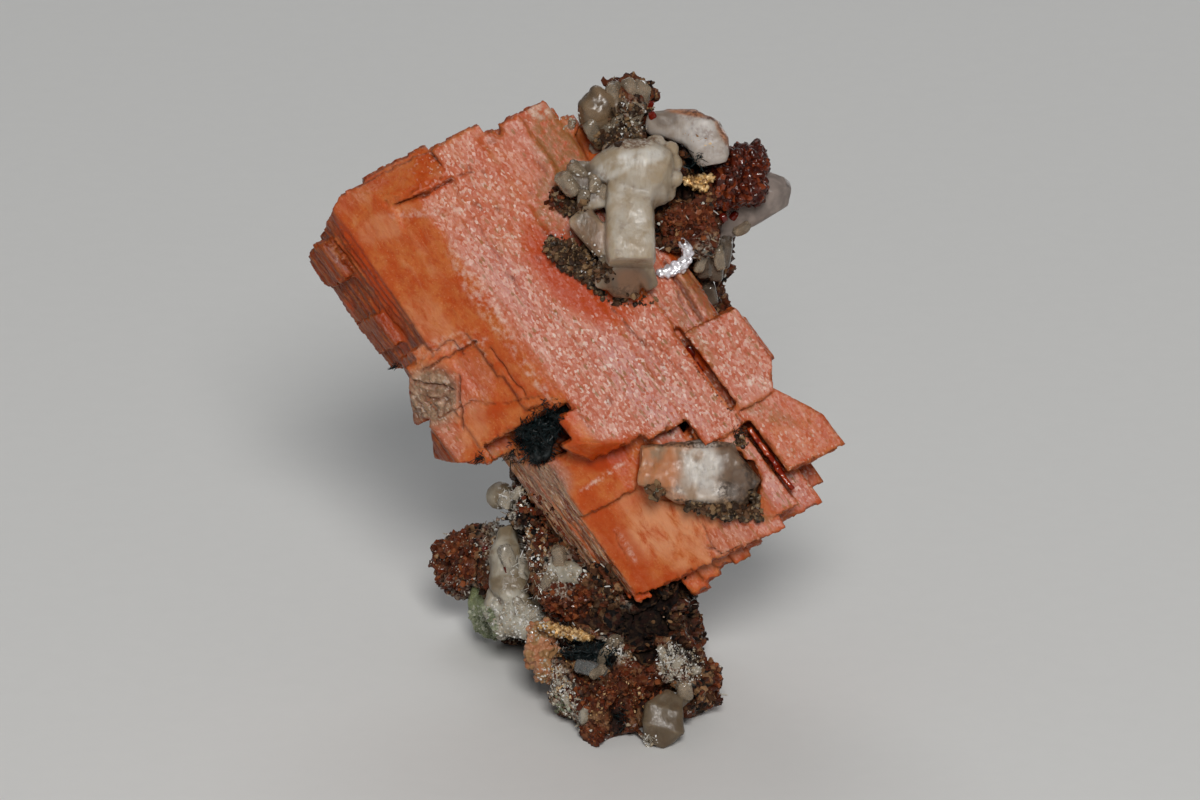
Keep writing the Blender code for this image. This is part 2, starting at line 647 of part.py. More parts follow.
def trim_foot(obj):
    """Cut the object level where it meets the floor."""
    if min(vert.co.z for vert in obj.data.vertices) < 0.0:
        bm = bmesh.new()
        bmesh.ops.create_cube(bm, size=2.0 * FLOOR_DEPTH)
        floor = new_object("floor", bm, Matrix.Translation((0.0, 0.0, -FLOOR_DEPTH)))
        combine(obj, floor, "DIFFERENCE")
        keep_largest(obj)


CRYSTALS = {
    "natrolite_top": (lambda grow: stalk_group("natrolite_top", TOP_GROUP, grow), "natrolite"),
    "natrolite_arm": (lambda grow: stalk_group("natrolite_arm", ARM, grow), "natrolite"),
    "natrolite_knob": (lambda grow: stalk_group("natrolite_knob", KNOB, grow), "grey_natrolite"),
    "red_serandite": (lambda grow: stalk_group("red_serandite", RED_GROUP, grow), "red_serandite"),
    "natrolite_far_right": (
        lambda grow: stalk_group("natrolite_far_right", FAR_RIGHT, grow), "natrolite"
    ),
    "grey_crystals": (lambda grow: stalk_group("grey_crystals", GREY, grow), "grey_natrolite"),
    "natrolite_embedded": (
        lambda grow: stalk_group("natrolite_embedded", EMBEDDED, grow), "natrolite"
    ),
    "slit_crystals": (slit_group, "red_serandite"),
    "aegirine_needles": (needle_crust, "aegirine"),
    "serandite_crystals": (serandite_group, "serandite"),
    "red_blade": (lambda grow: stalk_group("red_blade", RED_BLADE, grow), "red_serandite"),
    "natrolite_foot": (lambda grow: stalk_group("natrolite_foot", FOOT_WHITE, grow), "natrolite"),
    "natrolite_bead": (lambda grow: pebble(BEAD_CENTRE, BEAD_RADII, grow), "grey_natrolite"),
    "green_lump": (lambda grow: stalk_group("green_lump", GREEN, grow), "green_mineral"),
    "pink_chip": (lambda grow: stalk_group("pink_chip", PINK_CHIP, grow), "serandite"),
    "clear_chip": (lambda grow: stalk_group("clear_chip", CLEAR_CHIP, grow), "grey_natrolite"),
    "gold_strip": (lambda grow: stalk_group("gold_strip", GOLD, grow), "gold_mineral"),
    "natrolite_foot_tan": (
        lambda grow: stalk_group("natrolite_foot_tan", FOOT_TAN, grow), "grey_natrolite"
    ),
    "aegirine_foot": (foot_needle_crust, "aegirine"),
}


def touching(first, second):
    """Whether the boxes of two objects overlap."""
    for axis in range(3):
        a = [vert.co[axis] for vert in first.data.vertices]
        b = [vert.co[axis] for vert in second.data.vertices]
        if max(a) < min(b) or max(b) < min(a):
            return False
    return True


def make_room(piece, made):
    """Part a piece from the crystals made before it, which keep their shape."""
    for older in made:
        wide = CRYSTALS[older.name][0](GAP)
        if touching(piece, wide):
            combine(piece, wide, "DIFFERENCE")
        else:
            bpy.data.objects.remove(wide, do_unlink=True)
    keep_largest(piece)


def dress(piece, colour):
    """Give the piece its one material."""
    piece.data.materials.clear()
    piece.data.materials.append(material(colour))


def build():
    """Make every piece, part each from what it grows against, and stand the specimen up."""
    made = []
    for name, (make, colour) in CRYSTALS.items():
        piece = make(0.0)
        piece.name = name
        if name == "serandite_crystals":
            cut(piece, [blade(spec) for spec in POCKETS.values()])
        make_room(piece, made)
        dress(piece, colour)
        made.append(piece)
    body = rock()
    make_room(body, made)
    dress(body, "matrix")
    made.append(body)
    stand = floor_matrix()
    for piece in made:
        piece.data.transform(stand)
        trim_foot(piece)


clear_scene()
build()
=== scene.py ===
"""Looks of a serandite with natrolite specimen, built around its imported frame.

The solids of the frame give every piece its place. Each sub-assembly is a class that takes copies of
its solids, works their surface and dresses them; each finish is a frozen dataclass that makes one
procedural material. Places on the specimen's front are given in the picture's own 1200 x 800 pixels
and brought to the surface that carries them.
"""

import logging
import math
from collections.abc import Iterable, Sequence
from dataclasses import dataclass, field
from enum import Enum

import bpy
import numpy as np
from mathutils import Matrix, Quaternion, Vector
from mathutils.bvhtree import BVHTree


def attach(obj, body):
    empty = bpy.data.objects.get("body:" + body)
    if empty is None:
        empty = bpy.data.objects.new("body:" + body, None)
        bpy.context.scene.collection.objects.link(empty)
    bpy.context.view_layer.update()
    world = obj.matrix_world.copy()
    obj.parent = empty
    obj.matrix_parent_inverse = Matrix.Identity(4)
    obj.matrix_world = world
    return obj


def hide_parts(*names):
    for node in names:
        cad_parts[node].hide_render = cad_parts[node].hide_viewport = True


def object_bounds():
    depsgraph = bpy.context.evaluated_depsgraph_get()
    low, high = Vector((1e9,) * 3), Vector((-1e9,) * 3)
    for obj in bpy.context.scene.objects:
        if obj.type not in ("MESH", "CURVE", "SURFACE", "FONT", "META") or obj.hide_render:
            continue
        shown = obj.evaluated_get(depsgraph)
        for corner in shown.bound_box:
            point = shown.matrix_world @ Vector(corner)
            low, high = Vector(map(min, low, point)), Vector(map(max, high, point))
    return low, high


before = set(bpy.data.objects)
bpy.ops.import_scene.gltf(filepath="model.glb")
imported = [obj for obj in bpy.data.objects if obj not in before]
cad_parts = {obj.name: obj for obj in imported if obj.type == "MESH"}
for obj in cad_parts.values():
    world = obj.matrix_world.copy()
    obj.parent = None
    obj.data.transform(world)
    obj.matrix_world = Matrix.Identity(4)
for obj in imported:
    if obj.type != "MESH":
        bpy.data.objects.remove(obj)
CAD_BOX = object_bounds()

MM = 0.001
LOG = logging.getLogger("specimen")

Colour = tuple[float, float, float]
Place = tuple[float, float, float]
Pixel = tuple[float, float]
Rows = tuple[tuple[float, ...], ...]
Faces = list[tuple[int, ...]]
Array = np.ndarray
Object = bpy.types.Object
Socket = bpy.types.NodeSocket


@dataclass(frozen=True)
class Layout:
    """How the picture, the crystals' growth axes and the specimen's frame lie to each other.

    Lengths are in millimetres. The front frame has x to the right, y away from the eye and z up
    the picture; the crystal axes run along the blades, across them and towards the eye.
    """

    pixel: float = 0.12
    origin_px: Pixel = (573.5, 750.0)
    aim_px: Pixel = (600.0, 400.0)
    face_depth: float = -9.0
    eye_distance: float = 900.0
    tilt: float = math.radians(20.0)
    shift: tuple[float, float] = (-0.07, -17.69)
    tip_depth: float = -6.0
    fall: float = math.radians(54.0)
    heart: tuple[float, float, float] = (0.2, -9.0, 49.2)

    def front(self) -> Matrix:
        """Return the matrix from the front frame to the specimen's frame in metres."""
        turn = Matrix.Rotation(-self.tilt, 4, "X")
        lift = -(turn @ Vector((0.0, self.tip_depth, 0.0))).z
        place = Matrix.Translation((*self.shift, lift))
        return Matrix.Scale(MM, 4) @ place @ turn

    def crystal(self) -> Matrix:
        """Return the matrix from the crystal axes to the specimen's frame in metres."""
        long_axis = Vector((math.cos(self.fall), 0.0, -math.sin(self.fall)))
        wide_axis = Vector((math.sin(self.fall), 0.0, math.cos(self.fall)))
        axes = Matrix((long_axis, wide_axis, Vector((0.0, -1.0, 0.0)))).transposed().to_4x4()
        return self.front() @ Matrix.Translation(self.heart) @ axes

    def eye(self) -> Vector:
        """Return the eye's place in the front frame."""
        across = (self.aim_px[0] - self.origin_px[0]) * self.pixel
        up = (self.origin_px[1] - self.aim_px[1]) * self.pixel
        return Vector((across, self.face_depth - self.eye_distance, up))

    def spot(self, place: Pixel, depth: float) -> Vector:
        """Return the point in metres seen at a pixel of the picture, at a depth in the front frame.

        Args:
            place: The pixel.
            depth: Millimetres away from the eye.
        """
        eye = self.eye()
        spread = self.pixel * (depth - eye.y) / self.eye_distance
        across = eye.x + (place[0] - self.aim_px[0]) * spread
        up = eye.z - (place[1] - self.aim_px[1]) * spread
        return self.front() @ Vector((across, depth, up))

    def pixels(self, points: Array) -> Array:
        """Return the picture's pixels at which points, given in metres, are seen."""
        front = into(points, self.front())
        eye = self.eye()
        spread = self.pixel * (front[:, 1] - eye.y) / self.eye_distance
        across = self.aim_px[0] + (front[:, 0] - eye.x) / spread
        down = self.aim_px[1] - (front[:, 2] - eye.z) / spread
        return np.stack((across, down), axis=1)


LAYOUT = Layout()


def into(points: Array, place: Matrix) -> Array:
    """Return points given in metres in the coordinates of a frame.

    Args:
        points: Rows of x, y and z.
        place: The matrix from that frame to metres.
    """
    inverse = np.array(place.inverted())
    return points @ inverse[:3, :3].T + inverse[:3, 3]


def turned(vectors: Array, place: Matrix) -> Array:
    """Return directions on the axes of a frame.

    Args:
        vectors: Rows of x, y and z.
        place: The matrix from that frame to metres.
    """
    return vectors @ np.array(place.to_quaternion().to_matrix())


def rise(values: Array, low: float, high: float) -> Array:
    """Return 0 below low, 1 above high and a smooth rise between."""
    share = np.clip((values - low) / (high - low), 0.0, 1.0)
    return share * share * (3.0 - 2.0 * share)


def lottery(cells: Array, seed: int) -> Array:
    """Return a fixed random number from 0 to 1 for each row of whole numbers."""
    whole = cells.astype(np.int64)
    mixed = whole[..., 0] * 73856093 ^ whole[..., 1] * 19349663 ^ whole[..., 2] * 83492791
    mixed = (mixed ^ (seed * 2654435761)) & 0x7FFFFFFF
    mixed = ((mixed ^ (mixed >> 13)) * 1274126177) & 0x7FFFFFFF
    mixed = ((mixed ^ (mixed >> 15)) * 668265263) & 0x7FFFFFFF
    return ((mixed ^ (mixed >> 16)) & 0xFFFF) / 65535.0


def cloud(points: Array, size: float, seed: int, octaves: int = 3) -> Array:
    """Return smooth uneven noise from about -1 to 1.

    Args:
        points: Rows of x, y and z in millimetres.
        size: Breadth of the largest swells.
        seed: Which noise.
        octaves: How many finer layers it has.
    """
    total = np.zeros(len(points))
    weight = 1.0
    for octave in range(octaves):
        spots = points / size * 2.0**octave + 17.3 * octave
        base = np.floor(spots)
        share = spots - base
        share = share * share * (3.0 - 2.0 * share)
        value = np.zeros(len(points))
        for corner in np.ndindex(2, 2, 2):
            part = np.prod(np.where(np.array(corner) == 1, share, 1.0 - share), axis=1)
            value += part * lottery(base + np.array(corner), seed + octave)
        total += weight * (2.0 * value - 1.0)
        weight *= 0.5
    return total / (2.0 - 0.5 ** (octaves - 1)) * 1.6


def grains(points: Array, size: float, seed: int) -> tuple[Array, Array, Array]:
    """Return what a packing of uneven grains is like at each point.

    Args:
        points: Rows of x, y and z in millimetres.
        size: Mean breadth of a grain.
        seed: Which packing.

    Returns:
        The distance to the nearest grain's heart and to the next one's, in grain sizes, and a
        random number for the nearest grain.
    """
    spots = points / size
    base = np.floor(spots)
    first = np.full(len(points), 9.0)
    second = np.full(len(points), 9.0)
    value = np.zeros(len(points))
    for step in np.ndindex(3, 3, 3):
        cell = base + np.array(step) - 1.0
        heart = cell + np.stack([lottery(cell, seed + axis) for axis in range(3)], axis=1)
        away = np.linalg.norm(spots - heart, axis=1)
        nearer = away < first
        second = np.where(nearer, first, np.minimum(second, away))
        value = np.where(nearer, lottery(cell, seed + 7), value)
        first = np.where(nearer, away, first)
    return first, second, value


def activate(piece: Object) -> None:
    """Deselect everything and make one object the selected and active one."""
    bpy.ops.object.select_all(action="DESELECT")
    piece.select_set(True)
    bpy.context.view_layer.objects.active = piece


def modify(piece: Object, kind: str, **settings: object) -> None:
    """Add a modifier with these settings and apply it."""
    activate(piece)
    modifier = piece.modifiers.new(kind.lower(), kind)
    for key, value in settings.items():
        setattr(modifier, key, value)
    bpy.ops.object.modifier_apply(modifier=modifier.name)


def copy_node(node: str, name: str) -> Object:
    """Return a copy of a solid of the frame with its loose triangles merged.

    Args:
        node: The solid's node.
        name: The new piece's name.
    """
    piece = bpy.data.objects.new(name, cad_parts[node].data.copy())
    piece.data.materials.clear()
    bpy.context.scene.collection.objects.link(piece)
    activate(piece)
    bpy.ops.object.mode_set(mode="EDIT")
    bpy.ops.mesh.select_all(action="SELECT")
    bpy.ops.mesh.remove_doubles(threshold=0.001 * MM)
    bpy.ops.object.mode_set(mode="OBJECT")
    return piece


def remove(piece: Object) -> None:
    """Remove an object and its mesh."""
    mesh = piece.data
    bpy.data.objects.remove(piece, do_unlink=True)
    bpy.data.meshes.remove(mesh)


def refine(piece: Object, voxel: float, crisp: bool) -> None:
    """Give a piece an even, fine mesh.

    Args:
        piece: A closed mesh.
        voxel: Length of the new faces in millimetres.
        crisp: Whether the new mesh is drawn back onto the old faces, which keeps their edges.
    """
    old = piece.copy()
    old.data = piece.data.copy()
    bpy.context.scene.collection.objects.link(old)
    size = voxel * 1.0 * MM
    modify(piece, "REMESH", mode="VOXEL", voxel_size=size, use_smooth_shade=True)
    if crisp:
        modify(piece, "SHRINKWRAP", target=old, wrap_method="NEAREST_SURFACEPOINT")
    remove(old)


def thin(piece: Object, triangles: int, hidden: Array | None = None) -> None:
    """Reduce a piece to at most this many triangles.

    Args:
        piece: The mesh.
        triangles: How many it may have.
        hidden: How much each vertex may be thinned, from 0 to 1, or None for an even thinning.
    """
    now = sum(len(polygon.vertices) - 2 for polygon in piece.data.polygons)
    if now <= triangles:
        return
    settings: dict[str, object] = {"ratio": triangles / now}
    if hidden is not None:
        group = piece.vertex_groups.new(name="hidden")
        for step in range(11):
            members = np.flatnonzero(np.round(hidden * 10.0) == step)
            group.add(members.tolist(), step / 10.0, "REPLACE")
        settings["vertex_group"] = group.name
    modify(piece, "DECIMATE", **settings)


def read_points(piece: Object) -> Array:
    """Return the vertices' places in metres."""
    flat = np.empty(len(piece.data.vertices) * 3)
    piece.data.vertices.foreach_get("co", flat)
    return flat.reshape(-1, 3)


def read_normals(piece: Object) -> Array:
    """Return the vertices' normals."""
    flat = np.empty(len(piece.data.vertices) * 3)
    piece.data.vertex_normals.foreach_get("vector", flat)
    return flat.reshape(-1, 3)


def read_edges(piece: Object) -> Array:
    """Return the pairs of vertices that edges join."""
    flat = np.empty(len(piece.data.edges) * 2, np.int64)
    piece.data.edges.foreach_get("vertices", flat)
    return flat.reshape(-1, 2)


def move_points(piece: Object, points: Array) -> None:
    """Put the vertices at these places in metres, none of them below the floor."""
    points[:, 2] = np.maximum(points[:, 2], 0.0)
    piece.data.vertices.foreach_set("co", points.astype(np.float32).ravel())
    piece.data.update()


def paint(piece: Object, name: str, values: Array) -> None:
    """Keep a number for each vertex, which the piece's finish reads by name."""
    layer = piece.data.attributes.new(name, "FLOAT", "POINT")
    layer.data.foreach_set("value", values.astype(np.float32))


def neighbour_mean(values: Array, edges: Array) -> Array:
    """Return the mean of each vertex's neighbours."""
    count = np.bincount(edges.ravel(), minlength=len(values))
    total = np.bincount(edges[:, 0], values[edges[:, 1]], len(values))
    total += np.bincount(edges[:, 1], values[edges[:, 0]], len(values))
    return total / np.maximum(count, 1)


def spread(values: Array, edges: Array, rounds: int) -> Array:
    """Blur numbers over the mesh."""
    for _ in range(rounds):
        values = 0.5 * values + 0.5 * neighbour_mean(values, edges)
    return values


def bending(piece: Object, rounds: int) -> Array:
    """Return how far each vertex stands out of its surroundings, in mean edge lengths."""
    points = read_points(piece)
    edges = read_edges(piece)
    around = np.stack([neighbour_mean(points[:, axis], edges) for axis in range(3)], axis=1)
    length = np.linalg.norm(points[edges[:, 0]] - points[edges[:, 1]], axis=1).mean()
    out = ((points - around) * read_normals(piece)).sum(axis=1) / length
    return spread(out, edges, rounds)


@dataclass(frozen=True)
class Patch:
    """An oval of the picture, for a tint or a crop of small crystals.

    Attributes:
        x: Its middle's pixel across.
        y: Its middle's pixel down.
        length: Half its length, in pixels.
        width: Half its width, in pixels.
        turn: Degrees by which its length is turned, clockwise in the picture.
        strength: How strong it is at its middle.
    """

    x: float
    y: float
    length: float
    width: float
    turn: float = 0.0
    strength: float = 1.0

    def share(self, pixels: Array) -> Array:
        """Return the patch's strength at pixels, which fades to 0 at its rim."""
        angle = math.radians(self.turn)
        offset = pixels - np.array((self.x, self.y))
        along = offset[:, 0] * math.cos(angle) + offset[:, 1] * math.sin(angle)
        across = -offset[:, 0] * math.sin(angle) + offset[:, 1] * math.cos(angle)
        away = np.hypot(along / self.length, across / self.width)
        return self.strength * rise(1.25 - away, 0.0, 0.6)

    def scatter(self, rng: np.random.Generator, count: int) -> list[Pixel]:
        """Return random pixels in the oval, denser at its middle."""
        angle = math.radians(self.turn)
        reach = np.sqrt(rng.random(count))
        around = rng.random(count) * math.tau
        along = self.length * reach * np.cos(around)
        across = self.width * reach * np.sin(around)
        x = self.x + along * math.cos(angle) - across * math.sin(angle)
        y = self.y + along * math.sin(angle) + across * math.cos(angle)
        return list(zip(x.tolist(), y.tolist()))


def ovals(*rows: tuple[float, ...]) -> tuple[Patch, ...]:
    """Return a patch for each row of its numbers."""
    return tuple(Patch(*row) for row in rows)


def patched(pixels: Array, patches: Iterable[Patch]) -> Array:
    """Return the strongest of several patches at pixels."""
    best = np.zeros(len(pixels))
    for patch in patches:
        best = np.maximum(best, patch.share(pixels))
    return best


class Grain(Enum):
    """The small crystals that are modelled once and repeated."""

    CHIP = "chip"
    PRISM = "prism"
    NEEDLE = "needle"
    FLAKE = "flake"
    GEM = "gem"


def model_grain(kind: Grain) -> tuple[Array, Faces]:
    """Model one small crystal, a unit long, its foot at the origin and its length along z.

    Args:
        kind: Which crystal.

    Returns:
        Its vertices and its faces.
    """
    bpy.ops.object.select_all(action="DESELECT")
    if kind is Grain.CHIP:
        bpy.ops.mesh.primitive_ico_sphere_add(subdivisions=1, radius=0.55, location=(0.0, 0.0, 0.25))
    elif kind is Grain.GEM:
        bpy.ops.mesh.primitive_cube_add(size=1.0, location=(0.0, 0.0, 0.5))
        bpy.ops.object.mode_set(mode="EDIT")
        bpy.ops.mesh.bevel(offset=0.27, segments=3)
        bpy.ops.mesh.subdivide(number_cuts=1)
    elif kind is Grain.FLAKE:
        bpy.ops.mesh.primitive_cylinder_add(vertices=6, radius=0.5, depth=0.12, location=(0.0, 0.0, 0.2))
        bpy.ops.object.mode_set(mode="EDIT")
        bpy.ops.transform.resize(value=(1.0, 0.7, 1.0))
    else:
        sides, taper = (6, 0.25) if kind is Grain.NEEDLE else (4, 0.35)
        bpy.ops.mesh.primitive_cylinder_add(vertices=sides, radius=0.5, depth=0.8, location=(0.0, 0.0, 0.4))
        bpy.ops.object.mode_set(mode="EDIT")
        mesh = bpy.context.object.data
        bpy.ops.mesh.select_all(action="DESELECT")
        bpy.ops.object.mode_set(mode="OBJECT")
        for polygon in mesh.polygons:
            polygon.select = polygon.normal.z > 0.9
        bpy.ops.object.mode_set(mode="EDIT")
        bpy.ops.mesh.extrude_region_move(TRANSFORM_OT_translate={"value": (0.0, 0.0, 0.2)})
        bpy.ops.transform.resize(value=(taper, taper, 1.0))
    bpy.ops.object.mode_set(mode="OBJECT")
    piece = bpy.context.object
    bpy.ops.object.transform_apply(location=True, rotation=True, scale=True)
    points = read_points(piece)
    faces = [tuple(polygon.vertices) for polygon in piece.data.polygons]
    remove(piece)
    return points, faces


@dataclass
class Swarm:
    """Many copies of one small crystal, each with its own mesh, joined in one piece."""

    name: str
    kind: Grain
    places: list[tuple[Vector, Vector, Vector, float, float]] = field(default_factory=list)

    def add(self, foot: Vector, axis: Vector, size: Vector, spin: float, tint: float) -> None:
        """Place one crystal.

        Args:
            foot: Where it stands, in metres.
            axis: The way it points.
            size: Its width, depth and length in millimetres.
            spin: Its turn about its axis.
            tint: Which of its finish's shades it has, from 0 to 1.
        """
        self.places.append((foot, axis, size, spin, tint))

    def build(self) -> Object:
        """Return the joined mesh."""
        points, faces = model_grain(self.kind)
        rng = np.random.default_rng(len(self.places))
        rough = 0.24 if self.kind is Grain.CHIP else 0.03
        all_points = []
        all_faces = []
        for number, (foot, axis, size, spin, _) in enumerate(self.places):
            turn = axis.to_track_quat("Z", "Y") @ Quaternion((0.0, 0.0, 1.0), spin)
            place = np.array(turn.to_matrix())
            broken = points * (1.0 + rng.normal(0.0, rough, points.shape))
            spots = (broken * np.array(size) * MM) @ place.T + np.array(foot)
            spots[:, 2] = np.maximum(spots[:, 2], 0.0)
            all_points.append(spots)
            shift = number * len(points)
            all_faces.extend(tuple(index + shift for index in face) for face in faces)
        mesh = bpy.data.meshes.new(self.name)
        mesh.from_pydata(np.concatenate(all_points).tolist(), [], all_faces)
        mesh.update()
        piece = bpy.data.objects.new(self.name, mesh)
        bpy.context.scene.collection.objects.link(piece)
        paint(piece, "tint", np.repeat([row[4] for row in self.places], len(points)))
        return piece


@dataclass(frozen=True)
class Limb:
    """One crystal or one arm of a group, swept through rings that are seen at pixels of the picture.

    Attributes:
        rings: Each ring's pixel x and y, depth in millimetres, half breadth in pixels and half
            thickness in millimetres.
        corners: How square its section is: 2 is round, 6 is nearly square.
        tips: Breadth of its start and of its end, as shares of the first and the last ring's.
    """

    rings: tuple[tuple[float, float, float, float, float], ...]
    corners: float = 4.0
    tips: tuple[float, float] = (0.8, 0.8)

    def loft(self, sides: int = 24) -> tuple[Array, Faces]:
        """Return the limb's vertices in metres and its faces."""
        front = LAYOUT.front()
        spots = [front.inverted() @ LAYOUT.spot((row[0], row[1]), row[2]) for row in self.rings]
        hoops = []
        last = len(spots) - 1
        for number, spot in enumerate(spots):
            way = (spots[min(number + 1, last)] - spots[max(number - 1, 0)]).normalized()
            wide = way.cross(Vector((0.0, -1.0, 0.0))).normalized()
            thick = wide.cross(way)
            breadth = self.rings[number][3] * LAYOUT.pixel
            depth = self.rings[number][4]
            tip = way * 0.35 * breadth
            low, high = self.tips
            if number == 0:
                hoops.append((spot - tip, wide, thick, breadth * low, depth * low))
            hoops.append((spot, wide, thick, breadth, depth))
            if number == last:
                hoops.append((spot + tip, wide, thick, breadth * high, depth * high))
        points = []
        for spot, wide, thick, breadth, depth in hoops:
            for step in range(sides):
                angle = math.tau * step / sides
                u = math.copysign(abs(math.cos(angle)) ** (2.0 / self.corners), math.cos(angle))
                v = math.copysign(abs(math.sin(angle)) ** (2.0 / self.corners), math.sin(angle))
                points.append(front @ (spot + wide * (u * breadth) + thick * (v * depth)))
        faces = [tuple(range(sides)), tuple(reversed(range(len(points) - sides, len(points))))]
        for row in range(len(hoops) - 1):
            for step in range(sides):
                a = row * sides + step
                b = row * sides + (step + 1) % sides
                faces.append((b, a, a + sides, b + sides))
        return np.array(points), faces


def bead(x: float, y: float, depth: float, radius: float) -> Limb:
    """Return a round bead, whose radius is given in pixels."""
    thick = radius * LAYOUT.pixel
    ends = tuple((x + step * radius, y, depth, 0.8 * radius, 0.8 * thick) for step in (-0.6, 0.6))
    return Limb((ends[0], (x, y, depth, radius, thick), ends[1]), 2.0, (0.5, 0.5))


def join_limbs(name: str, limbs: Sequence[Limb]) -> Object:
    """Return one object that holds every limb as a closed mesh."""
    all_points: list[Array] = []
    all_faces: Faces = []
    shift = 0
    for limb in limbs:
        points, faces = limb.loft()
        all_points.append(points)
        all_faces.extend(tuple(index + shift for index in face) for face in faces)
        shift += len(points)
    mesh = bpy.data.meshes.new(name)
    mesh.from_pydata(np.concatenate(all_points).tolist(), [], all_faces)
    piece = bpy.data.objects.new(name, mesh)
    bpy.context.scene.collection.objects.link(piece)
    activate(piece)
    bpy.ops.object.mode_set(mode="EDIT")
    bpy.ops.mesh.select_all(action="SELECT")
    bpy.ops.mesh.normals_make_consistent(inside=False)
    bpy.ops.object.mode_set(mode="OBJECT")
    return piece


class Carrier:
    """The surface of finished pieces, on which small crystals are placed."""

    reach: float = 100.0

    def __init__(self, pieces: Sequence[Object]) -> None:
        """Read the pieces' faces."""
        points: list[list[float]] = []
        faces: Faces = []
        for piece in pieces:
            start = len(points)
            points.extend(read_points(piece).tolist())
            for polygon in piece.data.polygons:
                faces.append(tuple(index + start for index in polygon.vertices))
        self.tree = BVHTree.FromPolygons(points, faces)

    def hit(self, place: Pixel) -> tuple[Vector, Vector] | None:
        """Return the point and the normal seen at a pixel of the picture."""
        start = LAYOUT.spot(place, -self.reach)
        way = LAYOUT.spot(place, self.reach) - start
        point, normal, _, _ = self.tree.ray_cast(start, way.normalized())
        return None if point is None else (point, normal)


def sample(
    piece: Object, count: int, rng: np.random.Generator, layer: str | None = None
) -> list[tuple[Vector, Vector]]:
    """Return random points of a piece's surface with their normals.

    Args:
        piece: The mesh.
        count: How many points.
        rng: Where the random numbers come from.
        layer: A painted number that weighs the faces, or None for an even spread.
    """
    mesh = piece.data
    mesh.calc_loop_triangles()
    corners = np.empty(len(mesh.loop_triangles) * 3, np.int64)
    mesh.loop_triangles.foreach_get("vertices", corners)
    corners = corners.reshape(-1, 3)
    points = read_points(piece)
    a, b, c = (points[corners[:, k]] for k in range(3))
    normals = np.cross(b - a, c - a)
    weight = np.linalg.norm(normals, axis=1)
    if layer is not None:
        values = np.empty(len(mesh.vertices), np.float32)
        mesh.attributes[layer].data.foreach_get("value", values)
        weight = weight * values[corners].mean(axis=1)
    picks = rng.choice(len(corners), count, p=weight / weight.sum())
    u = rng.random((count, 1))
    v = rng.random((count, 1))
    flip = (u + v) > 1.0
    u = np.where(flip, 1.0 - u, u)
    v = np.where(flip, 1.0 - v, v)
    spots = a[picks] + u * (b - a)[picks] + v * (c - a)[picks]
    ways = normals[picks] / np.linalg.norm(normals[picks], axis=1, keepdims=True)
    return [(Vector(spot), Vector(way)) for spot, way in zip(spots, ways)]


def wild(rng: np.random.Generator, way: Vector, amount: float) -> Vector:
    """Return a direction near another one, strewn by amount."""
    return (way + Vector(rng.normal(0.0, amount, 3))).normalized()


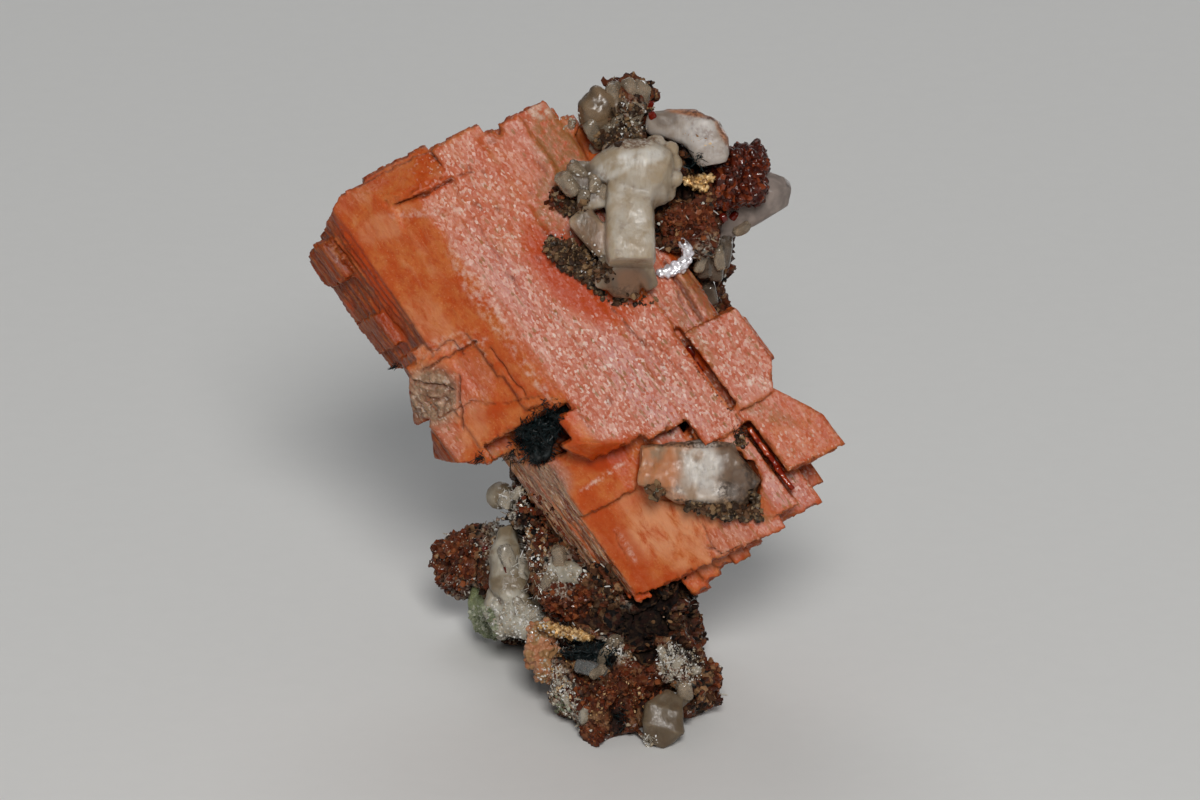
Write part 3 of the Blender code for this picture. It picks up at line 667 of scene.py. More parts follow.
class Shader:
    """A material's node tree, with short ways to add what the finishes need."""

    def __init__(self, name: str) -> None:
        """Start a material with a Principled surface."""
        self.material = bpy.data.materials.new(name)
        self.material.use_nodes = True
        self.tree = self.material.node_tree

    def feed(self, socket: Socket, value: object) -> None:
        """Link a socket to another, or set its value."""
        if isinstance(value, Socket):
            self.tree.links.new(value, socket)
        elif isinstance(value, tuple) and socket.type == "RGBA":
            socket.default_value = (*value, 1.0)
        else:
            socket.default_value = value

    def add(self, kind: str, inputs: dict[str | int, object], **settings: object) -> bpy.types.Node:
        """Return a new node.

        Args:
            kind: Its type, without the leading ShaderNode.
            inputs: What feeds its input sockets, by name or number.
            settings: Its other settings.
        """
        node = self.tree.nodes.new("ShaderNode" + kind)
        for name, value in settings.items():
            setattr(node, name, value)
        for key, value in inputs.items():
            self.feed(node.inputs[key], value)
        return node

    def dress(self, **values: object) -> None:
        """Set sockets of the Principled surface, whose names have _ for a blank."""
        surface = self.tree.nodes["Principled BSDF"]
        for name, value in values.items():
            self.feed(surface.inputs[name.replace("_", " ").title().replace("Ior", "IOR")], value)

    def crystal_space(self) -> Socket:
        """Return the place on the crystal axes, in millimetres from the specimen's origin."""
        turn = LAYOUT.crystal().to_quaternion().inverted().to_euler("XYZ")
        place = self.add("TexCoord", {}).outputs["Object"]
        return self.add("Mapping", {"Vector": place, "Rotation": turn, "Scale": (1.0 / MM,) * 3}).outputs[0]

    def object_space(self) -> Socket:
        """Return the place in the specimen's frame, in millimetres."""
        return self.stretch(self.add("TexCoord", {}).outputs["Object"], (1.0 / MM,) * 3)

    def stretch(self, place: Socket, scale: Place) -> Socket:
        """Return a place multiplied axis by axis."""
        return self.add("VectorMath", {0: place, 1: scale}, operation="MULTIPLY").outputs[0]

    def drawn(self, place: Socket, share: float) -> Socket:
        """Return a place whose patterns are drawn out along the first axis."""
        return self.stretch(place, (share, 1.0, 1.0))

    def noise(
        self, place: Socket, size: float, detail: float = 3.0, rough: float = 0.55, twist: float = 0.0
    ) -> Socket:
        """Return noise from 0 to 1, whose swells have this size in millimetres."""
        shape = {"Scale": 1.0 / size, "Detail": detail, "Roughness": rough, "Distortion": twist}
        return self.add("TexNoise", {"Vector": place, **shape}).outputs[0]

    def cells(self, place: Socket, size: float) -> tuple[Socket, Socket]:
        """Return a packing's distance and its random colours."""
        node = self.add("TexVoronoi", {"Vector": place, "Scale": 1.0 / size})
        return node.outputs["Distance"], node.outputs["Color"]

    def split(self, colour: Socket) -> list[Socket]:
        """Return a colour's three parts."""
        return list(self.add("SeparateColor", {0: colour}).outputs)

    def absorb(self, colour: Colour, density: float) -> None:
        """Let the body take up light: its clear colour, and how much of the rest a metre takes."""
        body = self.add("VolumeAbsorption", {"Color": colour, "Density": density})
        self.tree.links.new(body.outputs[0], self.tree.nodes["Material Output"].inputs["Volume"])

    def layer(self, name: str) -> Socket:
        """Return a painted number of the piece."""
        return self.add("Attribute", {}, attribute_name=name).outputs["Fac"]

    def span(self, value: Socket, low: float, high: float, bottom: float = 0.0, top: float = 1.0) -> Socket:
        """Return a smooth change from bottom to top as a value goes from low to high."""
        ends = {"From Min": low, "From Max": high, "To Min": bottom, "To Max": top}
        node = self.add("MapRange", {"Value": value, **ends}, interpolation_type="SMOOTHSTEP")
        return node.outputs["Result"]

    def sum(self, operation: str, first: object, second: object) -> Socket:
        """Return the result of a Math node."""
        return self.add("Math", {0: first, 1: second}, operation=operation).outputs[0]

    def mask(self, name: str, value: Socket, low: float, high: float, top: float = 1.0) -> Socket:
        """Return a painted number, broken up by a value that goes from low to high."""
        return self.sum("MULTIPLY", self.layer(name), self.span(value, low, high, 0.0, top))

    def blend(self, share: object, first: object, second: object) -> Socket:
        """Return a mix of two colours."""
        return self.add("Mix", {0: share, 6: first, 7: second}, data_type="RGBA").outputs[2]

    def tint(self, colour: object, *rows: tuple[Socket, float, float, float, object]) -> Socket:
        """Return a colour with others laid over it, one after the other.

        Args:
            colour: What lies below.
            rows: Each with a value, where it starts and ends, the share at its end, and the colour.
        """
        for value, low, high, share, over in rows:
            colour = self.blend(self.span(value, low, high, 0.0, share), colour, over)
        return colour

    def bump(
        self, height: Socket, depth: float, strength: float = 1.0, below: Socket | None = None
    ) -> Socket:
        """Return a normal bent by a height, whose full range is depth millimetres."""
        inputs = {"Strength": strength, "Distance": depth * MM, "Height": height}
        if below is not None:
            inputs["Normal"] = below
        return self.add("Bump", inputs).outputs["Normal"]

    def facets(self, colour: Socket, amount: object, below: Socket) -> Socket:
        """Return a normal that each cell of a packing turns its own way, as crystal faces do."""
        centred = self.add("VectorMath", {0: colour, 1: (0.5, 0.5, 0.5)}, operation="SUBTRACT").outputs[0]
        scaled = self.add("VectorMath", {0: centred, "Scale": amount}, operation="SCALE").outputs[0]
        added = self.add("VectorMath", {0: below, 1: scaled}, operation="ADD").outputs[0]
        return self.add("VectorMath", {0: added}, operation="NORMALIZE").outputs[0]


@dataclass(frozen=True)
class SeranditeFinish:
    """Silky serandite: frosted pink face, cloudy orange bevels and brown, finely ribbed flanks."""

    name: str = "serandite_finish"
    pink: Colour = (0.47, 0.165, 0.105)
    pink_pale: Colour = (0.60, 0.34, 0.27)
    pink_deep: Colour = (0.40, 0.085, 0.035)
    orange: Colour = (0.43, 0.060, 0.007)
    orange_pale: Colour = (0.50, 0.145, 0.035)
    # Deep orange of the mottles, also laid as painted shadow where the deep zone lies.
    orange_deep_and_shadow: Colour = (0.38, 0.042, 0.002)
    lilac: Colour = (0.46, 0.21, 0.18)
    flank: Colour = (0.17, 0.026, 0.005)
    flank_pale: Colour = (0.30, 0.085, 0.022)
    patch_pale: Colour = (0.38, 0.24, 0.16)
    cream: Colour = (0.60, 0.25, 0.12)
    tan: Colour = (0.42, 0.23, 0.12)
    rough_patch: Colour = (0.23, 0.14, 0.085)
    ochre: Colour = (0.24, 0.105, 0.03)
    chalk: Colour = (0.74, 0.62, 0.54)
    # Dark red-brown laid in pits, cracks, grooves and rust specks, darker in deeper grooves.
    darkening: Colour = (0.10, 0.018, 0.006)

    def material(self) -> bpy.types.Material:
        """Return the material, which reads the numbers painted by SeranditeGroup."""
        shader = Shader(self.name)
        place = shader.crystal_space()
        along = shader.drawn(place, 0.14)
        clouds = shader.noise(place, 2.6, 6.0, 0.65, 0.4)
        streak = shader.noise(shader.drawn(place, 0.09), 0.8, 4.0, 0.6)
        blotch = shader.noise(shader.drawn(place, 0.5), 1.6, 5.0, 0.65, 0.6)
        mottle = shader.noise(place, 0.8, 3.0, 0.6)
        dust = shader.noise(place, 0.28, 2.0, 0.6)
        fibre = shader.noise(along, 0.34, 3.0, 0.6)
        hair = shader.noise(along, 0.13, 2.0, 0.5)
        line = shader.noise(shader.drawn(place, 0.12), 0.5, 2.0, 0.5)
        _, tints = shader.cells(shader.drawn(place, 0.6), 0.24)
        first, second, third = shader.split(tints)
        near, picks = shader.cells(shader.drawn(place, 0.4), 0.7)

        orange = shader.blend(shader.span(clouds, 0.32, 0.72), self.orange, self.orange_pale)
        orange = shader.tint(
            orange,
            (blotch, 0.5, 0.75, 0.4, self.cream),
            (blotch, 0.46, 0.26, 0.7, self.orange_deep_and_shadow),
            (dust, 0.55, 0.75, 0.4, self.cream),
            (mottle, 0.48, 0.32, 0.45, self.orange_deep_and_shadow),
        )
        orange = shader.blend(shader.mask("cream", blotch, 0.30, 0.60), orange, self.cream)
        pink = shader.blend(shader.span(blotch, 0.34, 0.60), self.pink_deep, self.pink)
        pink = shader.tint(
            shader.blend(shader.layer("lilac"), pink, self.lilac),
            (streak, 0.50, 0.72, 0.6, self.pink_pale),
            (streak, 0.46, 0.26, 0.6, self.pink_deep),
            (first, 0.50, 0.95, 0.85, self.pink_pale),
            (second, 0.55, 0.95, 0.85, self.pink_deep),
        )
        chosen = shader.span(shader.split(picks)[0], 0.62, 0.68, 0.0, 0.85)
        pink = shader.blend(shader.sum("MULTIPLY", shader.span(near, 0.30, 0.18), chosen), pink, self.ochre)
        veined = shader.span(shader.layer("lilac"), 0.0, 0.8, 0.25, 0.9)
        pink = shader.blend(shader.sum("MULTIPLY", shader.span(line, 0.60, 0.66), veined), pink, self.ochre)
        flank = shader.blend(shader.span(fibre, 0.42, 0.70), self.flank, self.flank_pale)
        flank = shader.tint(flank, (hair, 0.56, 0.74, 0.12, self.chalk), (clouds, 0.5, 0.7, 0.6, self.orange))
        bleached = shader.blend(shader.span(fibre, 0.38, 0.62), self.flank, self.tan)
        bleached = shader.tint(bleached, (hair, 0.50, 0.70, 0.6, self.chalk))
        patch = shader.blend(shader.span(mottle, 0.40, 0.62), self.rough_patch, self.patch_pale)
        patch = shader.tint(patch, (fibre, 0.42, 0.30, 0.8, self.flank))

        colour = orange
        for share, over in (
            (shader.layer("pinkness"), pink),
            (shader.layer("flank"), shader.blend(shader.layer("bleach"), flank, bleached)),
            (shader.mask("rim", mottle, 0.35, 0.6), self.flank_pale),
            # The deep zone: deep orange, partly painted shadow below the upper cluster and under the brown
            # crust.
            (shader.layer("deep"), self.orange_deep_and_shadow),
            (shader.layer("rough_patch"), patch),
            (shader.mask("ochre", mottle, 0.34, 0.58), self.ochre),
            (shader.mask("chalk", mottle, 0.40, 0.70, 0.8), self.chalk),
            # Darker in pits, cracks, grooves and rust specks.
            (shader.layer("darkening"), self.darkening),
            # White chalk cells in the sparkle zone are painted glints.
            (shader.mask("sparkle", third, 0.84, 0.95, 0.5), self.chalk),
        ):
            colour = shader.blend(share, colour, over)

        normal = shader.bump(fibre, 0.08, 0.4)
        normal = shader.bump(mottle, 0.16, 0.4, normal)
        normal = shader.bump(dust, 0.08, 0.5, normal)
        normal = shader.facets(tints, shader.span(shader.layer("sparkle"), 0.0, 1.0, 0.12, 0.36), normal)
        shader.dress(
            base_color=colour,
            roughness=shader.span(mottle, 0.3, 0.7, 0.32, 0.48),
            subsurface_weight=0.25,
            subsurface_radius=(1.0, 0.30, 0.12),
            subsurface_scale=1.2 * MM,
            ior=1.5,
            specular_ior_level=0.2,
            normal=normal,
        )
        return shader.material


@dataclass(frozen=True)
class NatroliteFinish:
    """Milky, translucent natrolite with a frosted, finely ribbed skin.

    Attributes:
        name: The material's name.
        body: Its colour.
        milk: Where it is milk white.
        smoke: Where it is grey and clearer.
        soil: Where it is soiled, and the painted shade of its hollows.
        tan: Where it is stained orange-tan.
        clearness: How see-through its body is, and its smoky stretches.
        depth: How far light spreads in it, in millimetres.
        roughness: Of its skin.
    """

    name: str
    body: Colour = (0.31, 0.24, 0.16)
    milk: Colour = (0.51, 0.48, 0.435)
    smoke: Colour = (0.17, 0.12, 0.08)
    soil: Colour = (0.13, 0.065, 0.03)
    clearness: tuple[float, float] = (0.0, 0.35)
    depth: float = 1.6
    roughness: float = 0.40
    tan: Colour = (0.42, 0.17, 0.07)

    def material(self) -> bpy.types.Material:
        """Return the material, which reads the numbers painted by Prisms."""
        shader = Shader(self.name)
        place = shader.object_space()
        upright = shader.stretch(place, (1.0, 1.0, 0.14))
        clouds = shader.noise(place, 2.4, 3.0, 0.5, 0.3)
        ribs = shader.noise(upright, 0.35, 3.0, 0.5)
        dust = shader.noise(place, 0.45, 3.0, 0.6)
        _, tints = shader.cells(place, 0.9)
        smoky = shader.layer("smoke")
        colour = shader.tint(self.body, (clouds, 0.40, 0.68, 0.5, self.milk))
        for share, over in (
            (smoky, self.smoke),
            (shader.mask("milk", clouds, 0.25, 0.5), self.milk),
            (shader.mask("tan", clouds, 0.28, 0.55), self.tan),
            (shader.mask("soil", dust, 0.36, 0.60), self.soil),
        ):
            colour = shader.blend(share, colour, over)
        colour = shader.tint(colour, (ribs, 0.48, 0.30, 0.15, self.smoke))
        normal = shader.bump(ribs, 0.07, 0.7)
        normal = shader.bump(dust, 0.08, 0.3, normal)
        normal = shader.facets(tints, 0.08, normal)
        shader.dress(
            base_color=colour,
            roughness=shader.span(dust, 0.3, 0.7, self.roughness - 0.10, self.roughness + 0.10),
            subsurface_weight=0.7,
            subsurface_radius=(1.0, 0.85, 0.65),
            subsurface_scale=self.depth * MM,
            transmission_weight=shader.span(smoky, 0.0, 1.0, *self.clearness),
            ior=1.48,
            normal=normal,
        )
        return shader.material


@dataclass(frozen=True)
class ClearFinish:
    """Clear grey-brown crystal: see-through, with a slight frost."""

    name: str
    tint: Colour = (0.80, 0.72, 0.62)
    absorbed: Colour = (0.55, 0.42, 0.30)
    density: float = 260.0
    clearness: float = 0.8
    roughness: float = 0.10

    def material(self) -> bpy.types.Material:
        """Return the material."""
        shader = Shader(self.name)
        place = shader.object_space()
        clouds = shader.noise(place, 1.6, 3.0, 0.55, 0.4)
        dust = shader.noise(place, 0.4, 3.0, 0.6)
        _, tints = shader.cells(place, 0.8)
        dim = tuple(0.6 * part for part in self.tint)
        colour = shader.tint(self.tint, (clouds, 0.35, 0.65, 1.0, dim))
        normal = shader.bump(dust, 0.03, 0.25)
        shader.dress(
            base_color=colour,
            roughness=shader.span(dust, 0.3, 0.7, self.roughness, self.roughness + 0.16),
            transmission_weight=self.clearness,
            ior=1.48,
            normal=shader.facets(tints, 0.12, normal),
        )
        shader.absorb(self.absorbed, self.density)
        return shader.material


@dataclass(frozen=True)
class RockFinish:
    """Granular rock of mixed brown grains, with pale crusts, bright small faces and black painted shade in
    its hollows.
    """

    name: str = "rock_finish"
    brown: Colour = (0.072, 0.030, 0.014)
    red: Colour = (0.115, 0.026, 0.009)
    tan: Colour = (0.24, 0.13, 0.06)
    # Black of dark grains, also painted as shade in the hollows.
    black: Colour = (0.004, 0.003, 0.003)
    pale: Colour = (0.46, 0.43, 0.36)
    grain: float = 0.6

    def material(self) -> bpy.types.Material:
        """Return the material, which reads the numbers painted by Rock."""
        shader = Shader(self.name)
        place = shader.object_space()
        away, tints = shader.cells(place, self.grain)
        _, small_tints = shader.cells(place, 0.45 * self.grain)
        first, second, third = shader.split(tints)
        clouds = shader.noise(place, 4.0, 4.0, 0.6, 0.5)
        dust = shader.noise(place, 0.5, 4.0, 0.65)
        colour = shader.tint(
            self.brown,
            (first, 0.2, 0.8, 1.0, self.red),
            (second, 0.62, 0.80, 0.85, self.tan),
            (third, 0.72, 0.84, 1.0, self.black),
            (clouds, 0.55, 0.75, 0.6, self.tan),
            (clouds, 0.45, 0.28, 0.8, self.black),
            (dust, 0.5, 0.34, 0.8, self.black),
        )
        colour = shader.blend(shader.mask("rust", dust, 0.3, 0.55), colour, self.red)
        colour = shader.blend(shader.mask("crust", dust, 0.44, 0.60), colour, self.pale)
        # Painted shade: the hollows are blended to black.
        colour = shader.blend(shader.layer("gloom"), colour, self.black)
        normal = shader.bump(dust, 0.25, 0.7)
        normal = shader.bump(away, 0.25, 0.5, normal)
        normal = shader.facets(small_tints, 0.8, normal)
        shader.dress(
            base_color=colour,
            roughness=shader.sum("MAXIMUM", shader.span(third, 0.3, 0.7, 0.22, 0.70), shader.layer("gloom")),
            ior=1.5,
            specular_ior_level=0.15,
            normal=normal,
        )
        return shader.material


@dataclass(frozen=True)
class GrainFinish:
    """Small crystals of one mineral, whose shade changes from one to the next.

    Attributes:
        name: The material's name.
        shades: The colours that a grain may have, in order of its tint.
        roughness: Of its faces.
        clearness: How see-through they are.
        metal: How metallic they are.
        loose: Whether the shade follows the grains' own tint, or else a packing of this size.
        size: Breadth of the packing in millimetres.
        gloss: How strongly its faces mirror the light.
    """

    name: str
    shades: tuple[Colour, ...]
    roughness: float = 0.22
    clearness: float = 0.0
    metal: float = 0.0
    loose: bool = True
    size: float = 0.8
    gloss: float = 0.22

    def material(self) -> bpy.types.Material:
        """Return the material."""
        shader = Shader(self.name)
        place = shader.object_space()
        dust = shader.noise(place, 0.3, 2.0, 0.5)
        _, tints = shader.cells(place, self.size)
        tint = shader.layer("tint") if self.loose else shader.split(tints)[0]
        colour = shader.tint(self.shades[0], (dust, 0.3, 0.7, 0.3, self.shades[-1]))
        for number, shade in enumerate(self.shades[1:], 1):
            middle = number / len(self.shades)
            colour = shader.tint(colour, (tint, middle - 0.04, middle + 0.04, 1.0, shade))
        normal = shader.bump(dust, 0.05, 0.4)
        if not self.loose:
            normal = shader.facets(tints, 0.45, normal)
        shader.dress(
            base_color=colour,
            roughness=shader.span(dust, 0.3, 0.7, self.roughness, self.roughness + 0.2),
            metallic=self.metal,
            transmission_weight=self.clearness,
            ior=1.5,
            specular_ior_level=self.gloss,
            normal=normal,
        )
        return shader.material


def finish_piece(piece: Object, material: bpy.types.Material, slot: str, *nodes: str) -> None:
    """Dress a piece, hang it under the root and hide the solids that it replaces.

    Args:
        piece: The piece, in place.
        material: Its finish.
        slot: The name of a material slot; it is not used.
        nodes: The solids that it replaces.
    """
    piece.data.materials.clear()
    piece.data.materials.append(material)
    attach(piece, "root")
    if nodes:
        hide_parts(*nodes)
    faces = sum(len(polygon.vertices) - 2 for polygon in piece.data.polygons)
    LOG.info("%s: %d triangles", piece.name, faces)


@dataclass(frozen=True)
class Groove:
    """A crack or a step in a face, between two pixels of the picture.

    Attributes:
        x: One end's pixel across.
        y: Its pixel down.
        end_x: The other end's pixel across.
        end_y: Its pixel down.
        width: Half its width, in pixels.
        depth: How deep it is, in millimetres.
        drop: How far the face on its lower left lies below, in millimetres, fading away from it.
    """

    x: float
    y: float
    end_x: float
    end_y: float
    width: float = 2.0
    depth: float = 0.4
    drop: float = 0.0

    def reach(self, pixels: Array, shake: Array) -> tuple[Array, Array]:
        """Return how much of the crack and of the step there is at pixels.

        Args:
            pixels: Where.
            shake: Pixels by which the line is off its way there.
        """
        first = np.array((self.x, self.y))
        way = np.array((self.end_x, self.end_y)) - first
        length = float(np.hypot(*way))
        along = (pixels - first) @ way / length
        across = (pixels - first) @ np.array((way[1], -way[0])) / length + shake
        inside = rise(along, 0.0, 5.0) * rise(length - along, 0.0, 5.0)
        line = rise(self.width - np.abs(across), 0.0, self.width) * inside
        step = rise(-across, -1.5, 1.5) * rise(across + 40.0, 0.0, 34.0) * inside
        return line, step


@dataclass
class SeranditeGroup:
    """The stepped group of parallel serandite blades."""

    voxel: float = 0.26
    limit: int = 195000
    pink_from: tuple[float, float] = (-6.9, -4.4)
    zones: dict[str, tuple[Patch, ...]] = field(default_factory=lambda: {
        # Deep orange spots; those below the upper cluster and under the brown crust are painted shadow.
        "deep": ovals(
            (572, 274, 62, 30, 46), (600, 308, 36, 14, 20, 0.7), (620, 296, 30, 10, 12, 0.7),
            (540, 236, 14, 30, -20, 0.5), (368, 270, 62, 7, 58, 0.9), (390, 322, 34, 8, 58, 0.5),
            (606, 457, 26, 13, -24), (606, 457, 22, 9, -24), (425, 190, 30, 9, -26, 0.5),
            (572, 440, 44, 8, 56, 0.6), (700, 360, 14, 4, 55), (505, 372, 44, 10, 56, 0.35),
            (642, 470, 6, 20, 0, 0.8), (622, 545, 14, 62, -36, 0.55), (660, 585, 48, 9, -22, 0.55),
            (500, 408, 50, 8, -24, 0.3),
        ),
        "ochre": ovals(
            (560, 150, 52, 22, 62, 0.8), (548, 205, 16, 30, -10, 0.7), (720, 512, 52, 8, 8, 0.7),
            (505, 465, 26, 18, 0, 0.6), (690, 330, 44, 6, 52, 0.5), (695, 290, 30, 18, 60, 0.55),
            (700, 250, 14, 26, -32, 0.4), (770, 415, 30, 8, 20, 0.5),
        ),
        "chalk": ovals(
            (430, 212, 44, 5, -6, 0.45), (482, 296, 66, 12, 58, 0.55), (530, 372, 40, 5, 52, 0.5),
            (759, 383, 13, 9, 20, 0.9), (440, 345, 34, 8, -22, 0.35), (626, 545, 22, 3, 60, 0.6),
            (540, 112, 12, 8, 0, 0.7), (604, 476, 30, 2.5, -34, 0.8), (466, 345, 22, 3, -16, 0.7),
            (480, 345, 16, 4, 70, 0.4),
        ),
        "rough_patch": ovals(
            (432, 396, 32, 27, 75), (700, 285, 18, 14, 0, 0.3), (548, 478, 26, 20, 30, 0.4),
        ),
        "blush": ovals(
            (366, 178, 52, 20, -36, 0.25), (470, 385, 24, 30, 0, 0.45), (445, 448, 20, 20, 0, 0.7),
            (740, 535, 40, 20, -20, 0.7), (544, 480, 28, 22, 30, 0.8), (440, 430, 24, 12, 0, 0.8),
        ),
        "cream": ovals(
            (680, 518, 64, 36, -24), (640, 500, 26, 20, 0, 0.5), (712, 552, 44, 16, -24, 0.8),
            (460, 425, 26, 26, 0, 0.7), (430, 330, 40, 22, 60, 0.5), (385, 225, 30, 14, -30, 0.5),
        ),
        "lilac": ovals(
            (650, 390, 80, 26, 46, 0.8), (700, 300, 26, 34, 0, 0.7), (500, 270, 60, 16, 56, 0.5),
            (775, 480, 50, 20, 40, 0.7), (745, 520, 40, 20, 0, 0.5), (570, 470, 30, 20, 40, 0.4),
        ),
        "amber": ovals(
            (574, 438, 56, 15, 57), (625, 470, 30, 34, 0, 0.9), (640, 540, 60, 60, 0, 0.8),
            (470, 180, 120, 60, 30, 0.3), (805, 440, 54, 34, 40, 0.55), (570, 140, 50, 30, 50, 0.5),
        ),
        # Sugary zone: relief, turned facets, and white cells painted as glints.
        "sparkle": ovals(
            (630, 360, 130, 70, 44), (490, 210, 100, 50, 50, 0.8), (735, 350, 50, 36, 30, 0.9),
            (790, 450, 60, 40, 40, 0.7), (432, 396, 36, 30, 75, 0.6),
        ),
    })
    bulge: Patch = Patch(590, 430, 22, 26, 50)
    bleach: tuple[Patch, ...] = ovals((560, 545, 120, 60, 56))
    pitted: tuple[Patch, ...] = ovals((670, 320, 70, 60, 40), (520, 200, 80, 60, 40), (640, 420, 60, 30, 40))
    grooves: Rows = (
        (391, 208, 455, 178, 3, 1.3, 0.5), (455, 178, 476, 172, 1.6, 0.5), (418, 372, 478, 341, 2.4, 0.6),
        (487, 346, 527, 398, 2, 0.4, 0.25), (411, 380, 456, 390, 2.6, 0.7), (424, 397, 452, 402, 3, 0.6),
        (458, 372, 462, 432, 2.2, 0.5), (680, 338, 735, 412, 2.2, 0.4, 0.3), (735, 412, 752, 436, 2.2, 0.4),
        (664, 258, 704, 322, 2.4, 0.5, 0.2), (684, 250, 716, 312, 2, 0.6), (674, 285, 690, 316, 1.6, 0.4),
        (606, 300, 668, 372, 1.6, 0.25), (640, 322, 700, 400, 1.4, 0.22, 0.12),
        (545, 302, 600, 372, 1.3, 0.16), (470, 215, 520, 292, 1.3, 0.18, 0.1),
        (705, 545, 722, 556, 1.6, 0.5), (716, 556, 742, 546, 1.6, 0.5), (700, 520, 716, 556, 1.3, 0.3),
        (612, 530, 628, 562, 1.2, 0.25), (666, 424, 672, 436, 2.6, 0.5),
        (566, 395, 600, 444, 1.6, 0.2, 0.1), (466, 400, 500, 404, 1.5, 0.3), (500, 404, 548, 396, 1.5, 0.3),
    )

    def build(self) -> list[Object]:
        """Work and dress the blades."""
        blades = copy_node("serandite_crystals", "serandite_blades")
        refine(blades, self.voxel, crisp=True)
        self.carve(blades)
        out = turned(read_normals(blades), LAYOUT.front())[:, 1]
        thin(blades, self.limit, np.clip(0.1 + 0.9 * rise(out, -0.1, 0.4), 0.0, 1.0))
        finish_piece(blades, SeranditeFinish().material(), "serandite", "serandite_crystals")
        return [blades]

    def carve(self, blades: Object) -> None:
        """Cut ribs, steps, chips and pits in the blades and paint what their finish reads."""
        points = read_points(blades)
        near_front = rise(6.0 - into(points, LAYOUT.front())[:, 1], 0.0, 3.0)
        points[:, 0] -= 2.4 * MM * self.bulge.share(LAYOUT.pixels(points)) * near_front
        move_points(blades, points)
        normals = read_normals(blades)
        edges = read_edges(blades)
        crystal = into(points, LAYOUT.crystal())
        along, across, out = turned(normals, LAYOUT.crystal()).T
        pixels = LAYOUT.pixels(points)
        seen = rise(out, 0.05, 0.3)
        zone = {name: patched(pixels, patches) * seen for name, patches in self.zones.items()}
        zone["deep"] = patched(pixels, self.zones["deep"]) * rise(out, -0.4, 0.1)
        zone["sparkle"] *= 1.0 - 0.8 * zone["deep"]

        ragged = crystal[:, 1] + 0.8 * cloud(crystal, 2.2, 41, 3)
        face = spread(rise(out, 0.90, 0.97), edges, 5)
        flank = spread(np.maximum(rise(-across, 0.72, 0.84), rise(-out, 0.2, 0.5)), edges, 2)
        flank = np.maximum(flank, rise(np.abs(along), 0.75, 0.9) * 0.6)
        border = rise(-16.0 - crystal[:, 1], 0.0, 0.8) * rise(-11.0 - crystal[:, 0], 0.0, 2.0)
        flank = np.maximum(flank, border)
        pinkness = face * rise(ragged, *self.pink_from)
        pinkness = np.maximum(pinkness, rise(across, 0.1, 0.25) * rise(out, 0.5, 0.8))
        third = rise(crystal[:, 0], 16.0, 17.5) * rise(7.0 - crystal[:, 1], 0.0, 3.0)
        pinkness *= 1.0 - 0.85 * third
        pinkness = np.maximum(pinkness, zone.pop("blush")) * (1.0 - zone["deep"]) * (1.0 - zone.pop("amber"))
        edge = rise(bending(blades, 1), 0.045, 0.16)

        grainy = crystal * np.array((0.6, 1.0, 1.0))
        stretched = crystal * np.array((0.13, 1.0, 1.0))
        ribs = cloud(stretched, 0.95, 3, 3)
        stub = np.zeros(len(points))
        row = np.floor(crystal[:, 2] / 0.62 + 0.3 * cloud(stretched, 2.0, 8, 1))
        start = lottery(np.stack((row, stub, stub), axis=1), 5) * 9.0
        length = np.floor((crystal[:, 0] + start) / 3.4)
        plank = lottery(np.stack((row, length, stub), axis=1), 6) - 0.5
        end_cell = np.floor(np.stack((stub, crystal[:, 1] / 0.8, crystal[:, 2] / 0.9), axis=1))
        splinter = lottery(end_cell, 9) - 0.5

        pit_near, _, pit_value = grains(crystal * np.array((0.5, 1.0, 1.0)), 1.4, 11)
        many = 0.04 + 0.22 * patched(pixels, self.pitted)
        pits = rise(0.20 + 0.12 * pit_value - pit_near, 0.0, 0.14) * (pit_value < many) * face * pinkness
        near, nearer, _ = grains(crystal, 0.95, 21)
        lumps = np.minimum(1.6 * (nearer - near), 1.0)
        rough_spot = zone["rough_patch"]
        crack = rise(0.12 - np.abs(cloud(grainy, 3.2, 33, 2)), 0.0, 0.1) * rough_spot
        sugar_near, sugar_next, sugar_value = grains(grainy, 0.55, 45)
        sugar = (np.minimum(1.4 * (sugar_next - sugar_near), 0.6) + sugar_value) * zone["sparkle"]

        shake = 1.6 * cloud(crystal, 1.1, 47, 2)
        line = np.zeros(len(points))
        push = 0.10 * cloud(crystal, 6.0, 1, 2) + 0.05 * cloud(crystal, 1.2, 2, 2)
        for groove in (Groove(*row) for row in self.grooves):
            crack_line, step = groove.reach(pixels, shake)
            push -= seen * (groove.depth * crack_line + groove.drop * step)
            line = np.maximum(line, crack_line * seen * min(1.0, 2.0 * groove.depth))
        push += (0.03 * face + 0.03) * ribs
        push += flank * (0.13 * ribs + 0.20 * plank)
        push += rise(np.abs(along), 0.7, 0.9) * 0.45 * splinter
        push += 0.055 * (sugar - 0.5 * zone["sparkle"])
        push -= 0.30 * pits
        push += rough_spot * (0.30 * lumps - 0.3 * rise(cloud(crystal, 1.7, 34, 2), -0.1, 0.5)) - 0.2 * crack
        push -= edge * 0.30 * rise(cloud(crystal, 1.1, 4, 2), -0.15, 0.6)
        move_points(blades, points + normals * (push * MM)[:, None])

        wear = edge * rise(cloud(crystal, 1.6, 12, 2), -0.2, 0.5)
